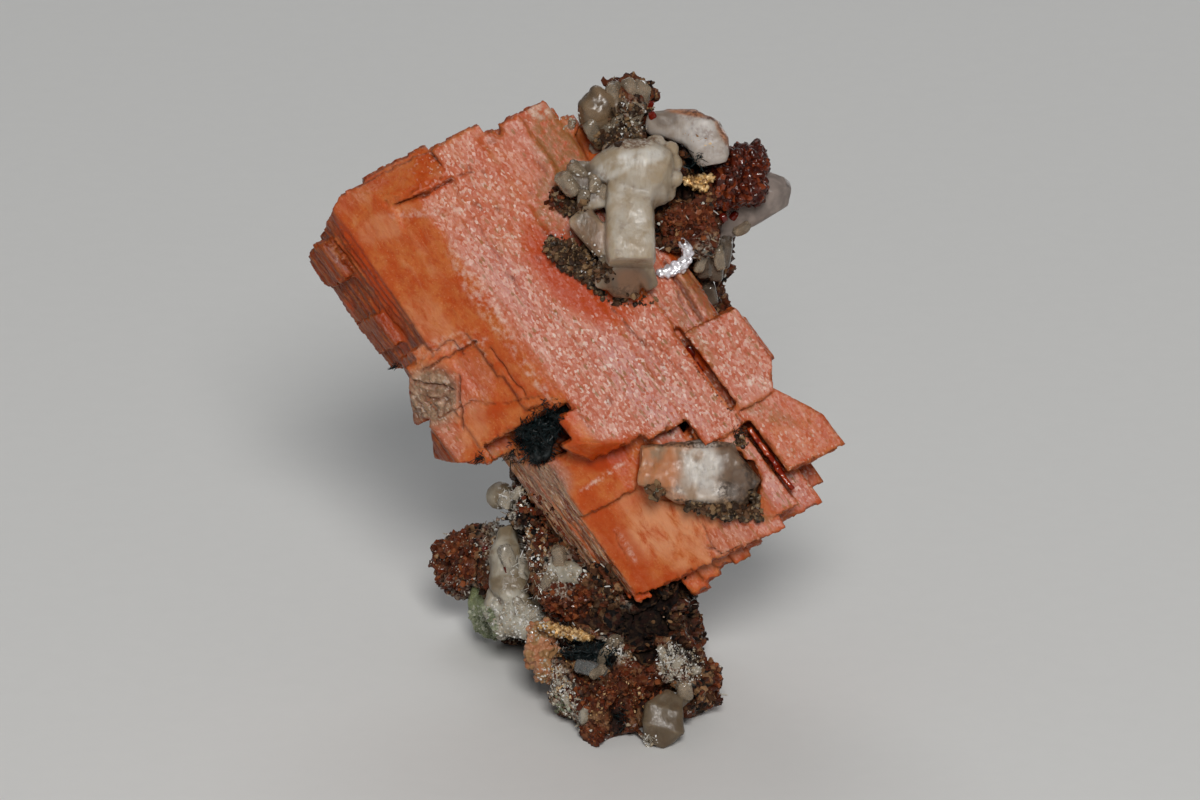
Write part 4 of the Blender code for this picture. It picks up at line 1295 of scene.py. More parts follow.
        # Darker in pits, along the rough spot's cracks and along the grooves, the more the deeper each groove
        # is.
        darkening = np.maximum(0.9 * spread(pits, edges, 1), np.maximum(0.4 * crack, 0.85 * line))
        rust = rise(cloud(crystal * np.array((0.4, 1.0, 1.0)), 1.0, 55, 3), 0.62, 0.9) * face * 1.6 * many
        paint(blades, "pinkness", np.clip(pinkness, 0.0, 1.0))
        paint(blades, "flank", np.clip(flank, 0.0, 1.0))
        paint(blades, "rim", 0.8 * wear)
        paint(blades, "bleach", patched(pixels, self.bleach))
        paint(blades, "darkening", np.clip(darkening + rust, 0.0, 1.0))
        for name, values in zone.items():
            paint(blades, name, values)


def draw_grain(
    rng: np.random.Generator, sizes: tuple[float, float], length: float, fineness: float, longest: float
) -> tuple[Vector, float, float]:
    """Return one grain's size in millimetres, its spin and its tint.

    Args:
        rng: Where the random numbers come from.
        sizes: The least and the greatest breadth.
        length: The length as a share of the breadth.
        fineness: How much rarer the broad grains are; 1 is evenly mixed.
        longest: By how much the longest grain passes that length.
    """
    breadth = sizes[0] + (sizes[1] - sizes[0]) * rng.random() ** fineness
    size = Vector((breadth, breadth * rng.uniform(0.5, 1.0), length * breadth * rng.uniform(0.6, longest)))
    return size, rng.uniform(0.0, math.tau), rng.random()


@dataclass(frozen=True)
class Strewn:
    """A crop of small grains on a surface.

    Attributes:
        name: The piece's name.
        kind: Which small crystal.
        count: How many.
        sizes: Their least and greatest breadth in millimetres.
        length: Their length as a share of their breadth.
        layer: The painted number of the surface that weighs where they stand.
        unrest: How much they lean at random.
        sunk: How deep they are set in, as a share of their breadth.
    """

    name: str
    kind: Grain
    count: int
    sizes: tuple[float, float]
    length: float = 1.0
    layer: str | None = None
    unrest: float = 0.6
    sunk: float = 0.3

    def grow(self, carrier: Object, seed: int) -> Object:
        """Return the grains, standing on a surface."""
        rng = np.random.default_rng(seed)
        swarm = Swarm(self.name, self.kind)
        for foot, way in sample(carrier, self.count, rng, self.layer):
            size, spin, tint = draw_grain(rng, self.sizes, self.length, 2.5, 1.3)
            low = foot - way * (self.sunk * size.x * MM)
            axis = wild(rng, way, self.unrest)
            if low.z > 1.2 * size.x * MM:
                swarm.add(low, axis, size, spin, tint)
        return swarm.build()


@dataclass
class Rock:
    """The granular matrix with its crusts, and the loose grains that stand on it."""

    voxel: float = 0.34
    limit: int = 190000
    zones: dict[str, tuple[Patch, ...]] = field(default_factory=lambda: {
        "crust": ovals(
            (505, 545, 22, 40, -10, 0.9), (515, 500, 14, 18, 0, 0.9), (520, 622, 30, 20, 20),
            (560, 575, 18, 26, 0, 0.7), (680, 664, 24, 22, 30), (562, 690, 14, 40, -30, 0.8),
            (648, 742, 12, 10, 0, 0.9), (612, 650, 18, 12, 30, 0.7), (626, 118, 18, 22, 0, 0.5),
            (560, 118, 14, 12, 0, 0.7), (709, 255, 14, 24, 0, 0.4), (455, 590, 26, 14, 20, 0.4),
        ),
        "rust": ovals(
            (446, 560, 30, 40, 0, 0.8), (690, 222, 30, 24), (567, 603, 30, 22, 0, 0.9),
            (620, 690, 50, 22, -10, 0.7), (556, 196, 12, 14, 0, 0.9), (590, 735, 24, 12, 0, 0.8),
        ),
        # Painted shade: black in the hollow under the third block, in the cap's hollow and in the foot's
        # hollows, which are also sunk deeper.
        "gloom": ovals(
            (650, 612, 56, 26, -20, 0.9), (690, 163, 17, 17), (690, 190, 16, 8, 0, 0.8),
            (620, 716, 9, 22, 10), (700, 606, 10, 22, 0, 0.8), (645, 655, 12, 9, 0, 0.9),
            (588, 650, 30, 11, 10), (575, 254, 20, 14, 20, 0.6), (700, 640, 14, 40, 0, 0.6),
            (545, 520, 10, 24, -30, 0.6),
        ),
    })
    crops: tuple[Strewn, ...] = (
        Strewn("rock_grains", Grain.CHIP, 5200, (0.25, 1.25), layer="bare"),
        Strewn("rock_glints", Grain.CHIP, 2600, (0.14, 0.55), layer="druse"),
        Strewn("rock_needles", Grain.PRISM, 700, (0.12, 0.24), 5.0, "druse", 0.8),
    )

    def build(self) -> list[Object]:
        """Work and dress the rock, its grains and its bright small faces."""
        rock = copy_node("matrix", "rock")
        refine(rock, self.voxel, crisp=False)
        self.erode(rock)
        thin(rock, self.limit)
        finish_piece(rock, RockFinish().material(), "matrix", "matrix")
        brown = GrainFinish("rock_grain_finish", (
            (0.008, 0.005, 0.003), (0.055, 0.023, 0.011), (0.085, 0.022, 0.009), (0.07, 0.033, 0.016),
            (0.13, 0.045, 0.018), (0.27, 0.15, 0.07), (0.05, 0.016, 0.008),
        ), 0.16)
        white = GrainFinish("glint_finish", (
            (0.42, 0.38, 0.30), (0.58, 0.55, 0.48), (0.72, 0.70, 0.66), (0.34, 0.26, 0.17),
        ), 0.06, 0.2, gloss=0.5)
        slots = ("matrix", "natrolite", "natrolite")
        materials = (brown.material(), white.material())
        made = [rock]
        for number, crop in enumerate(self.crops):
            piece = crop.grow(rock, 41 + number)
            finish_piece(piece, materials[min(number, 1)], slots[number])
            made.append(piece)
        return made

    def erode(self, rock: Object) -> None:
        """Break the surface up in lumps, grains and hollows, and paint its crusts and the black painted shade
        of its hollows.
        """
        points = read_points(rock)
        normals = read_normals(rock)
        millimetres = points / MM
        pixels = LAYOUT.pixels(points)
        seen = rise(turned(normals, LAYOUT.front())[:, 1], 0.35, -0.1)
        zone = {name: patched(pixels, patches) * seen for name, patches in self.zones.items()}
        near, nearer, value = grains(millimetres, 2.1, 51)
        lumps = np.minimum(1.5 * (nearer - near), 0.6) + 0.7 * value
        near, nearer, value = grains(millimetres, 0.95, 61)
        small = np.minimum(1.6 * (nearer - near), 0.6) + 0.6 * value
        caves = rise(cloud(millimetres, 2.4, 71, 3), 0.30, 0.70)
        push = 0.75 * (lumps - 0.65) + 0.40 * (small - 0.6) - 1.1 * caves - 2.4 * zone["gloom"]
        floor = rise(points[:, 2] / MM, 0.0, 1.5)
        move_points(rock, points + normals * (push * floor * MM)[:, None])
        rest = cloud(millimetres, 6.0, 81, 3)
        zone["crust"] = np.maximum(zone["crust"], 0.6 * (1.0 - seen) * rise(rest, 0.45, 0.85))
        # The caves are painted dark as shade too.
        zone["gloom"] = np.maximum(zone["gloom"], 0.75 * caves)
        zone["rust"] = np.maximum(zone["rust"], rise(-rest, 0.1, 0.5) * 0.6)
        zone["bare"] = np.clip(1.0 - zone["crust"] - zone["gloom"], 0.02, 1.0)
        zone["druse"] = np.clip(zone["crust"] + 0.12 - 0.5 * zone["gloom"], 0.01, 1.0)
        for name, values in zone.items():
            paint(rock, name, values)


@dataclass(frozen=True)
class Prisms:
    """How one group of crystals is worked.

    Attributes:
        node: The solid that it stands for.
        name: The piece's name.
        slot: The name of its material slot.
        finish: Its finish's name.
        melt: Rounds of smoothing.
        relief: Height of its unevenness in millimetres.
        bead: Height of the rounded beads of its skin in millimetres.
        limbs: The crystals that make it up, or nothing where the solid itself is worked.
    """

    node: str
    name: str
    slot: str
    finish: str
    melt: int
    relief: float
    bead: float = 0.0
    limbs: tuple[Limb, ...] = ()

    def work(self, voxel: float, zones: dict[str, Sequence[Patch]], seed: int) -> Object:
        """Round and etch the crystals and paint what their finish reads.

        Args:
            voxel: Length of the new faces in millimetres.
            zones: Where milk, smoke and soil lie in the picture.
            seed: Which noise.
        """
        piece = join_limbs(self.name, self.limbs) if self.limbs else copy_node(self.node, self.name)
        refine(piece, voxel, crisp=False)
        modify(piece, "SMOOTH", factor=0.5, iterations=self.melt)
        points = read_points(piece)
        normals = read_normals(piece)
        millimetres = points / MM
        pixels = LAYOUT.pixels(points)
        upright = millimetres * np.array((1.0, 1.0, 0.25))
        near, _, value = grains(millimetres, 2.6, seed + 3)
        push = self.relief * cloud(millimetres, 2.4, seed, 3)
        push += 0.3 * self.relief * cloud(upright, 0.8, seed + 5, 2)
        push += self.bead * (0.6 * value + 0.7 - near)
        move_points(piece, points + normals * (push * MM)[:, None])
        edges = read_edges(piece)
        hollow = rise(-bending(piece, 2), 0.02, 0.12)
        spots = rise(cloud(millimetres, 1.8, seed + 9, 3), 0.3, 0.7) * 0.35
        for name in ("milk", "smoke", "tan"):
            paint(piece, name, patched(pixels, zones.get(name, ())))
        # Soil patches and spots, with painted shade added in the hollows.
        soil = patched(pixels, zones.get("soil", ())) + 0.7 * spread(hollow, edges, 1) + spots
        paint(piece, "soil", np.clip(soil, 0.0, 1.0))
        return piece


T_GROUP = (
    Limb(((630, 190, -12.6, 23, 3), (630, 215, -13.6, 24, 3), (631, 256, -15.1, 25, 2.9)), 5, (0.9, 0.88)),
    Limb(((590, 175, -11.2, 8, 1.8), (604, 168, -12, 15, 2.6), (624, 164, -12.9, 25, 3.2),
          (644, 168, -13.2, 30, 3.4), (658, 174, -12.8, 27, 3.1)), 2.6, (0.5, 0.6)),
    bead(650, 184, -12.9, 25), bead(671, 150, -12.4, 9), bead(674, 163, -12.6, 9),
    bead(673, 178, -12.8, 9.5), bead(667, 192, -12.8, 9.5), bead(655, 146, -12.4, 12),
    bead(612, 152, -11.6, 11), Limb(((596, 188, -11, 9, 2), (565, 181, -11.6, 10, 1.9)), 5),
    Limb(((600, 200, -11.2, 9, 1.8), (580, 203, -11.4, 8, 1.6)), 5),
    Limb(((594, 170, -11, 8, 1.8), (574, 169, -11.4, 8, 1.5)), 5),
    Limb(((607, 248, -12.4, 13, 2.2), (598, 238, -12.2, 14, 2.3),
          (582, 219, -11.6, 13.5, 2.2)), 5, (0.8, 0.88)),
    Limb(((624, 256, -12.2, 20, 2.6), (624, 287, -10.6, 16, 2.2)), 4),
    Limb(((640, 262, -12, 11, 2), (650, 283, -11, 8, 1.8)), 5),
    Limb(((608, 262, -11.8, 10, 2), (603, 283, -10.9, 8, 1.8)), 5),
)
CURVED_PAIR = (
    Limb(((652, 124, -9.4, 12, 2), (670, 125, -9.8, 15, 2.1), (688, 128, -10.4, 17.5, 2.2),
          (702, 134, -11, 20, 2.3), (710, 146, -11.4, 20, 2.4),
          (712, 157, -11.2, 18, 2.2)), 3.6, (0.7, 0.8)),
    Limb(((668, 118, -10, 9, 1.6), (694, 119, -10.8, 10, 1.8), (714, 130, -11.4, 10, 1.8)), 3),
)
KNOB = (
    Limb(((596, 124, -7.6, 14, 1.9), (596, 108, -8.4, 17.5, 2.2), (603, 97, -8.4, 15, 2)), 2.6),
    Limb(((604, 142, -6.6, 12, 1.8), (600, 128, -7.2, 12, 1.8))),
    Limb(((612, 112, -7.8, 12, 2), (616, 98, -7.8, 11, 1.9)), 3),
)
GREY_GROUP = (
    Limb(((704, 270, -3, 7, 1.6), (702, 241, -5.6, 9, 1.8)), 5, (0.8, 0.55)),
    Limb(((716, 274, -2.2, 7, 1.6), (716, 245, -4.6, 8, 1.7)), 5, (0.8, 0.5)),
    Limb(((724, 262, -1.6, 6, 1.5), (727, 241, -3, 6, 1.5)), 5, (0.8, 0.5)),
    Limb(((711, 300, 1.4, 7, 1.4), (708, 284, 0.6, 7, 1.4)), 5, (0.8, 0.6)),
)
SET_IN = (
    Limb(((648, 466, -6.5, 20, 2.3), (672, 468, -6.8, 24, 2.7), (700, 470, -6.9, 27, 2.8)), 9, (0.95, 0.9)),
    Limb(((676, 473, -6.6, 28, 2.9), (722, 475, -6.9, 31, 2.8), (747, 492, -6.3, 18, 2.4)), 7, (0.8, 0.5)),
    Limb(((668, 452, -6.6, 10, 2.4), (700, 452, -6.7, 11, 2.6), (731, 450, -6.4, 9, 2.3)), 6, (0.8, 0.8)),
)
NECK = (
    Limb(((506, 530, 14, 8, 2), (505, 556, 13, 17, 2.6), (510, 586, 12, 19, 2.7),
          (520, 606, 11.4, 13, 2.2)), 3.4, (0.5, 0.6)),
    Limb(((536, 566, 9.6, 13, 1.8), (558, 573, 6.6, 15, 2), (584, 577, 5, 10, 1.6)), 3, (0.5, 0.6)),
    Limb(((494, 592, 13, 6, 1.6), (490, 610, 13.2, 8, 1.8), (504, 630, 12.2, 10, 2)), 3, (0.6, 0.6)),
    Limb(((530, 548, 12.8, 4, 1.6), (537, 590, 10.9, 5, 1.7), (543, 608, 10, 4, 1.5)), 5, (0.4, 0.6)),
    Limb(((500, 606, 12.6, 10, 2), (514, 622, 11.6, 13, 2.4), (532, 630, 10.6, 10, 2)), 2.4),
    Limb(((510, 600, 12.2, 9, 2), (530, 612, 10.8, 13, 2.2), (541, 618, 10.2, 8, 1.8)), 2.4),
)
TAN_BLOCK = (
    Limb(((670, 702, -4, 13, 2.2), (664, 712, -4.6, 20, 2.7), (663, 726, -4.8, 22, 2.8),
          (658, 735, -4.4, 15, 2.3)), 5, (0.9, 0.85)),
    Limb(((676, 704, -3.4, 8, 1.7), (688, 692, -3.6, 7, 1.6)), 5),
)
CLEAR_PRISM = (
    Limb(((579, 666, -2.8, 7, 1.2), (592, 669, -3.4, 8, 1.3), (606, 674, -3.8, 7, 1.2)), 6, (0.7, 0.6)),
)
GOLD_LEAF = (
    Limb(((541, 625, 1.4, 3, 0.9), (556, 631, 0.6, 6, 1.3), (578, 635, -0.2, 5, 1.2),
          (592, 638, -0.4, 3, 0.9)), 3),
)
FAN = (
    Limb(((684, 181, -9.4, 3, 0.8), (694, 182, -9.8, 6, 0.8), (704, 179, -9.6, 6, 0.7),
          (712, 178, -9, 3, 0.6)), 3), Limb(((694, 186, -9.2, 3, 0.8), (706, 189, -9.2, 5, 0.8)), 3),
)
BROWN_CRUST = (
    Limb(((550, 244, -8.8, 7, 1.2), (566, 253, -9.6, 13, 1.9), (584, 264, -10, 12, 1.8),
          (604, 279, -9.6, 8, 1.4)), 3),
    Limb(((562, 262, -9, 8, 1.3), (588, 274, -9.4, 7, 1.2), (600, 288, -9, 6, 1)), 3),
    Limb(((554, 190, -8.8, 5, 1.2), (562, 204, -9.4, 8, 1.6), (586, 212, -10, 8, 1.8)), 3),
    Limb(((688, 505, -8.2, 4, 1), (726, 513, -8.4, 7, 1.4), (760, 514, -7.8, 6, 1.2)), 3),
    Limb(((757, 508, -7.6, 5, 1.2), (750, 486, -7.2, 4, 1.2)), 3), bead(654, 492, -8.8, 8),
    bead(738, 441, -8.2, 6), bead(618, 300, -9.2, 6), bead(604, 296, -9, 5), bead(609, 141, -11, 9),
    bead(634, 139, -12.4, 8), bead(622, 136, -11.8, 9),
)
CREST = (
    Limb(((681, 240, -9.4, 4, 0.9), (688, 249, -8.8, 6, 1), (687, 259, -7.9, 6, 1.2),
          (679, 267, -7.9, 6.5, 0.9), (668, 271, -8.2, 6, 0.8), (659, 275, -8.3, 4, 0.6)), 3, (0.5, 0.5)),
)


@dataclass
class CrystalGroups:
    """The milky, grey and clear crystals of the upper cluster, the front and the foot."""

    voxel: float = 0.2
    zones: dict[str, tuple[Patch, ...]] = field(default_factory=lambda: {
        "milk": ovals(
            (616, 166, 30, 10, -30), (646, 156, 20, 8, -8, 0.9), (518, 616, 34, 24, 20),
            (500, 560, 10, 26, 0, 0.6), (538, 575, 6, 24, -10), (562, 572, 26, 12, 10, 0.7),
            (700, 130, 14, 16, 60, 0.7), (632, 205, 18, 30, 0, 0.35), (703, 466, 19, 24, -10),
            (716, 488, 22, 8, 14, 0.5),
        ),
        "smoke": ovals(
            (576, 184, 28, 24), (588, 232, 14, 26, -10, 0.7), (628, 284, 30, 20),
            (700, 110, 44, 8, 14, 0.6), (665, 116, 14, 12, 0, 0.6), (664, 195, 14, 14, 0, 0.35),
            (744, 485, 20, 26, -10), (728, 462, 12, 24, 0, 0.8),
        ),
        "tan": ovals(
            (656, 468, 25, 34), (590, 232, 18, 24, -30, 0.3), (628, 286, 26, 18, 0, 0.4),
            (690, 111, 46, 5, 10, 0.9), (725, 134, 5, 20, -30, 0.8), (676, 500, 16, 8, 20, 0.6),
            (674, 446, 20, 6, 0, 0.6),
        ),
        "soil": ovals(
            (630, 142, 30, 7, -4), (600, 186, 10, 16, 0, 0.5), (590, 250, 14, 10, -10, 0.5),
            (622, 296, 28, 12, 0, 0.9), (738, 496, 26, 14, 20, 0.6), (698, 111, 44, 6, 16),
            (724, 134, 5, 18, -24, 0.7), (712, 148, 22, 12, 80, 0.15), (708, 508, 46, 8, 6),
            (752, 480, 6, 30, -24, 0.9), (692, 444, 50, 3.5, 0, 0.8), (655, 492, 10, 7),
        ),
    })

    def build(self) -> list[Object]:
        """Work and dress each group."""
        finishes = (
            NatroliteFinish("natrolite_cream"),
            NatroliteFinish(
                "natrolite_lilac", (0.30, 0.25, 0.21), (0.54, 0.51, 0.49), (0.18, 0.13, 0.095),
                (0.12, 0.05, 0.03),
            ),
            NatroliteFinish(
                "natrolite_set", (0.28, 0.18, 0.11), (0.50, 0.46, 0.42), (0.17, 0.105, 0.065),
                (0.05, 0.03, 0.018), (0.0, 0.25), 2.4, 0.44,
            ),
            NatroliteFinish(
                "natrolite_foot_milky", (0.20, 0.15, 0.09), (0.48, 0.445, 0.37), (0.16, 0.12, 0.08),
                (0.10, 0.035, 0.015), (0.15, 0.4),
            ),
            NatroliteFinish(
                "natrolite_tan", (0.13, 0.09, 0.052), (0.20, 0.155, 0.10), (0.14, 0.10, 0.06),
                (0.09, 0.045, 0.022), (0.20, 0.4), 1.4, 0.42,
            ),
            NatroliteFinish(
                "green_lump_finish", (0.19, 0.215, 0.11), (0.36, 0.38, 0.28), (0.1, 0.12, 0.07),
                (0.06, 0.055, 0.03), (0.15, 0.3), 0.6, 0.3,
            ),
            ClearFinish("smoky_clear", (0.30, 0.20, 0.115), (0.50, 0.34, 0.20), 300.0, 0.5, 0.24),
            ClearFinish("lilac_clear", (0.42, 0.34, 0.30), (0.55, 0.45, 0.40), 260.0, 0.5, 0.3),
            ClearFinish("grey_clear", (0.72, 0.72, 0.70), (0.6, 0.6, 0.6), 160.0, 0.85, 0.04),
            ClearFinish("dark_clear", (0.26, 0.20, 0.15), (0.45, 0.35, 0.25), 300.0, 0.6, 0.03),
        )
        materials = {finish.name: finish.material() for finish in finishes}
        milky, grey = "natrolite", "grey_natrolite"
        rows = (
            Prisms("natrolite_top", "natrolite_t_group", milky, "natrolite_cream", 3, 0.12, 0.06, T_GROUP),
            Prisms(
                "natrolite_arm", "natrolite_curved_pair", milky, "natrolite_lilac", 4, 0.12, 0.0, CURVED_PAIR,
            ),
            Prisms("natrolite_far_right", "natrolite_right_prism", milky, "lilac_clear", 2, 0.10),
            Prisms("natrolite_knob", "natrolite_left_knob", grey, "smoky_clear", 3, 0.2, 0.25, KNOB),
            Prisms("grey_crystals", "clear_grey_crystals", grey, "dark_clear", 1, 0.08, 0.0, GREY_GROUP),
            Prisms(
                "natrolite_embedded", "natrolite_set_in_front", milky, "natrolite_set", 1, 0.3, 0.0, SET_IN,
            ),
            Prisms("natrolite_foot", "natrolite_in_neck", milky, "natrolite_foot_milky", 2, 0.3, 0.15, NECK),
            Prisms(
                "natrolite_foot_tan", "natrolite_tan_block", grey, "natrolite_tan", 0, 0.22, 0.0, TAN_BLOCK,
            ),
            Prisms("natrolite_bead", "natrolite_round_bead", grey, "natrolite_foot_milky", 2, 0.12),
            Prisms("clear_chip", "clear_grey_chip", grey, "grey_clear", 1, 0.05, 0.0, CLEAR_PRISM),
            Prisms("green_lump", "green_grey_lump", "green_mineral", "green_lump_finish", 1, 0.5, 0.5),
        )
        made = []
        for number, group in enumerate(rows):
            piece = group.work(self.voxel, self.zones, 100 + 20 * number)
            finish_piece(piece, materials[group.finish], group.slot, group.node)
            made.append(piece)
        return made


@dataclass(frozen=True)
class Gem:
    """One small rounded crystal, seen at a pixel of the picture.

    Attributes:
        x: Its middle's pixel across.
        y: Its middle's pixel down.
        width: Its breadth in millimetres.
        length: Its length in millimetres.
        turn: Degrees by which it leans to the right.
        lean: How much it points at the eye.
    """

    x: float
    y: float
    width: float
    length: float
    turn: float = 0.0
    lean: float = 0.4


@dataclass
class SmallCrystals:
    """The small rounded crystals that stand among the large ones."""

    smoky: Rows = (
        (641, 94, 2.2, 3, 10), (630, 88, 1.6, 2.4, -20), (614, 92, 1.8, 2.2, -10),
        (592, 130, 1.8, 2.6, -30), (604, 134, 1.6, 2.6, 20), (620, 118, 1.9, 2.8, 5),
        (636, 116, 1.6, 2.6, 30), (565, 112, 1.2, 1.6, 0), (556, 110, 1, 1.4, -30),
        (571, 124, 0.9, 1.2, 20), (568, 184, 1.9, 3.2, -40), (578, 170, 1.6, 2.6, -60),
        (594, 182, 1.7, 2.4, 10), (602, 192, 1.5, 2.2, 30), (584, 198, 1.4, 2, 0), (719, 258, 1.3, 3, -8),
        (701, 262, 1.1, 2.6, 24), (742, 228, 1.4, 2.4, 60), (560, 560, 2, 3.4, -10),
        (548, 582, 1.6, 2.6, 20), (613, 645, 1.6, 2.8, 40), (604, 655, 1.2, 2.4, 30),
        (685, 690, 1.8, 2.2, 0), (598, 672, 1.2, 2.2, 60),
    )
    milky: Rows = (
        (596, 150, 1.3, 1.8, -30), (507, 500, 1.5, 2, 20), (517, 494, 1.1, 1.8, 40),
        (584, 714, 1.2, 2.8, 10), (568, 700, 1, 2, -30), (508, 560, 1.8, 3.8, -14),
        (524, 572, 1.3, 4.4, -8), (677, 664, 1.3, 2.2, 30), (662, 655, 1, 2.4, -20), (693, 672, 1, 2, 70),
        (648, 742, 1, 1.8, 170), (536, 612, 1.2, 2.2, 50), (520, 606, 1.2, 2.4, -30),
    )
    red: Rows = (
        (650, 106, 0.8, 1.2, 24), (652, 115, 0.9, 1, -30), (770, 172, 0.7, 0.8), (506, 570, 0.6, 1.2, -20),
        (734, 216, 0.8, 1.2, 40), (692, 354, 0.8, 2.2, -36), (700, 367, 0.6, 1.6, -36),
        (485, 549, 0.7, 0.7), (724, 218, 0.7, 1.1, -30),
    )

    def build(self, carrier: Carrier) -> list[Object]:
        """Grow and dress each kind.

        Args:
            carrier: The surfaces that carry them.
        """
        rows = (
            ("smoky_small_crystals", self.smoky, "grey_natrolite",
             ClearFinish("smoky_gem", (0.66, 0.52, 0.37), (0.55, 0.38, 0.22), 260.0, 0.68)),
            ("milky_small_crystals", self.milky, "natrolite",
             ClearFinish("milky_gem", (0.50, 0.44, 0.35), (0.8, 0.75, 0.65), 100.0, 0.3, 0.16)),
            ("red_small_crystals", self.red, "red_serandite",
             ClearFinish("red_gem", (0.20, 0.012, 0.004), (0.8, 0.12, 0.03), 300.0, 0.35, 0.05)),
        )
        made = []
        for number, (name, gems, slot, finish) in enumerate(rows):
            swarm = Swarm(name, Grain.GEM)
            for gem in (Gem(*row) for row in gems):
                found = carrier.hit((gem.x, gem.y))
                if found is None:
                    LOG.info("%s: nothing carries the crystal at %s, %s", name, gem.x, gem.y)
                    continue
                angle = math.radians(gem.turn)
                toward = Vector((math.sin(angle), -gem.lean, math.cos(angle))).normalized()
                axis = (LAYOUT.front().to_quaternion() @ toward).normalized()
                foot = found[0] - axis * (0.5 * gem.length * MM)
                swarm.add(foot, axis, Vector((gem.width, 0.85 * gem.width, gem.length)), gem.turn, 0.5)
            piece = swarm.build()
            points = read_points(piece)
            push = 0.16 * cloud(points / MM, 1.1, 600 + number, 2)
            move_points(piece, points + read_normals(piece) * (push * MM)[:, None])
            activate(piece)
            bpy.ops.object.shade_smooth_by_angle(angle=math.radians(40.0))
            finish_piece(piece, finish.material(), slot)
            made.append(piece)
        return made


@dataclass(frozen=True)
class Granular:
    """How a granular or splintered piece is worked."""

    node: str
    name: str
    slot: str
    finish: GrainFinish
    grain: float = 0.9
    relief: float = 0.5
    crisp: bool = False
    limbs: tuple[Limb, ...] = ()
    voxel: float = 0.18

    def work(self, seed: int) -> Object:
        """Work and dress the piece."""
        piece = join_limbs(self.name, self.limbs) if self.limbs else copy_node(self.node, self.name)
        refine(piece, self.voxel, crisp=self.crisp)
        points = read_points(piece)
        near, nearer, value = grains(points / MM, self.grain, seed)
        push = self.relief * (np.minimum(1.5 * (nearer - near), 0.7) + 0.7 * value - 0.7)
        drawn = into(points, LAYOUT.crystal()) * np.array((0.25, 1.0, 1.0))
        push += 0.3 * self.relief * cloud(drawn, 0.5, seed, 2)
        move_points(piece, points + read_normals(piece) * (push * MM)[:, None])
        finish_piece(piece, self.finish.material(), self.slot, *filter(None, (self.node,)))
        return piece


@dataclass
class GranularPieces:
    """The red-brown serandite, the chips and the golden strip."""

    def build(self) -> list[Object]:
        """Work and dress each piece and the grains that stand on the red mass."""
        dark_red = GrainFinish("red_granular", (
            (0.016, 0.003, 0.002), (0.045, 0.007, 0.003), (0.085, 0.012, 0.004), (0.03, 0.004, 0.002),
            (0.16, 0.03, 0.008),
        ), 0.10, 0.0, 0.0, False, 0.6, 0.35)
        glassy = GrainFinish("red_glassy", ((0.32, 0.022, 0.003), (0.42, 0.05, 0.008), (0.24, 0.015, 0.003)),
                             0.05, 0.3, 0.0, False, 1.6)
        chip = GrainFinish("pink_chip_finish", ((0.34, 0.13, 0.06), (0.42, 0.20, 0.11), (0.30, 0.16, 0.07)),
                           0.3, 0.0, 0.0, False, 1.1)
        bright = GrainFinish("gold_finish", ((0.16, 0.07, 0.02), (0.46, 0.25, 0.08), (0.66, 0.45, 0.22)),
                             0.22, 0.0, 0.2, False, 0.35)
        crust = GrainFinish("brown_crust_finish", (
            (0.012, 0.008, 0.006), (0.07, 0.04, 0.022), (0.04, 0.024, 0.013), (0.20, 0.13, 0.07),
            (0.06, 0.04, 0.025),
        ), 0.2, 0.0, 0.0, False, 0.45)
        silver = GrainFinish("silver_finish", ((0.62, 0.60, 0.64), (0.88, 0.88, 0.92), (0.78, 0.75, 0.80)),
                             0.10, 0.0, 0.45, False, 0.5)
        rows = (
            Granular("red_serandite", "red_granular_crystals", "red_serandite", dark_red, 1.3, 0.65),
            Granular("slit_crystals", "slit_prisms", "red_serandite", glassy, 1.4, 0.12, True),
            Granular("red_blade", "red_tapered_blade", "red_serandite", dark_red, 1.6, 0.16, True),
            Granular("pink_chip", "pink_edge_chip", "serandite", chip, 1.0, 0.6),
            Granular("gold_strip", "golden_strip", "gold_mineral", bright, 0.6, 0.5, False, GOLD_LEAF),
            Granular("", "silver_crest", "natrolite", silver, 0.9, 0.45, False, CREST),
            Granular("", "golden_fan", "gold_mineral", bright, 0.5, 0.5, False, FAN),
            Granular("", "brown_crust", "matrix", crust, 0.8, 0.8, False, BROWN_CRUST),
        )
        made = [row.work(700 + 10 * number) for number, row in enumerate(rows)]
        crop = Strewn("red_grains", Grain.CHIP, 150, (0.3, 1.1)).grow(made[0], 43)
        loose = GrainFinish("red_grain_finish", (
            (0.02, 0.003, 0.002), (0.06, 0.009, 0.003), (0.12, 0.02, 0.006), (0.04, 0.006, 0.003),
        ), 0.08, gloss=0.35)
        finish_piece(crop, loose.material(), "red_serandite")
        made.append(crop)
        return made


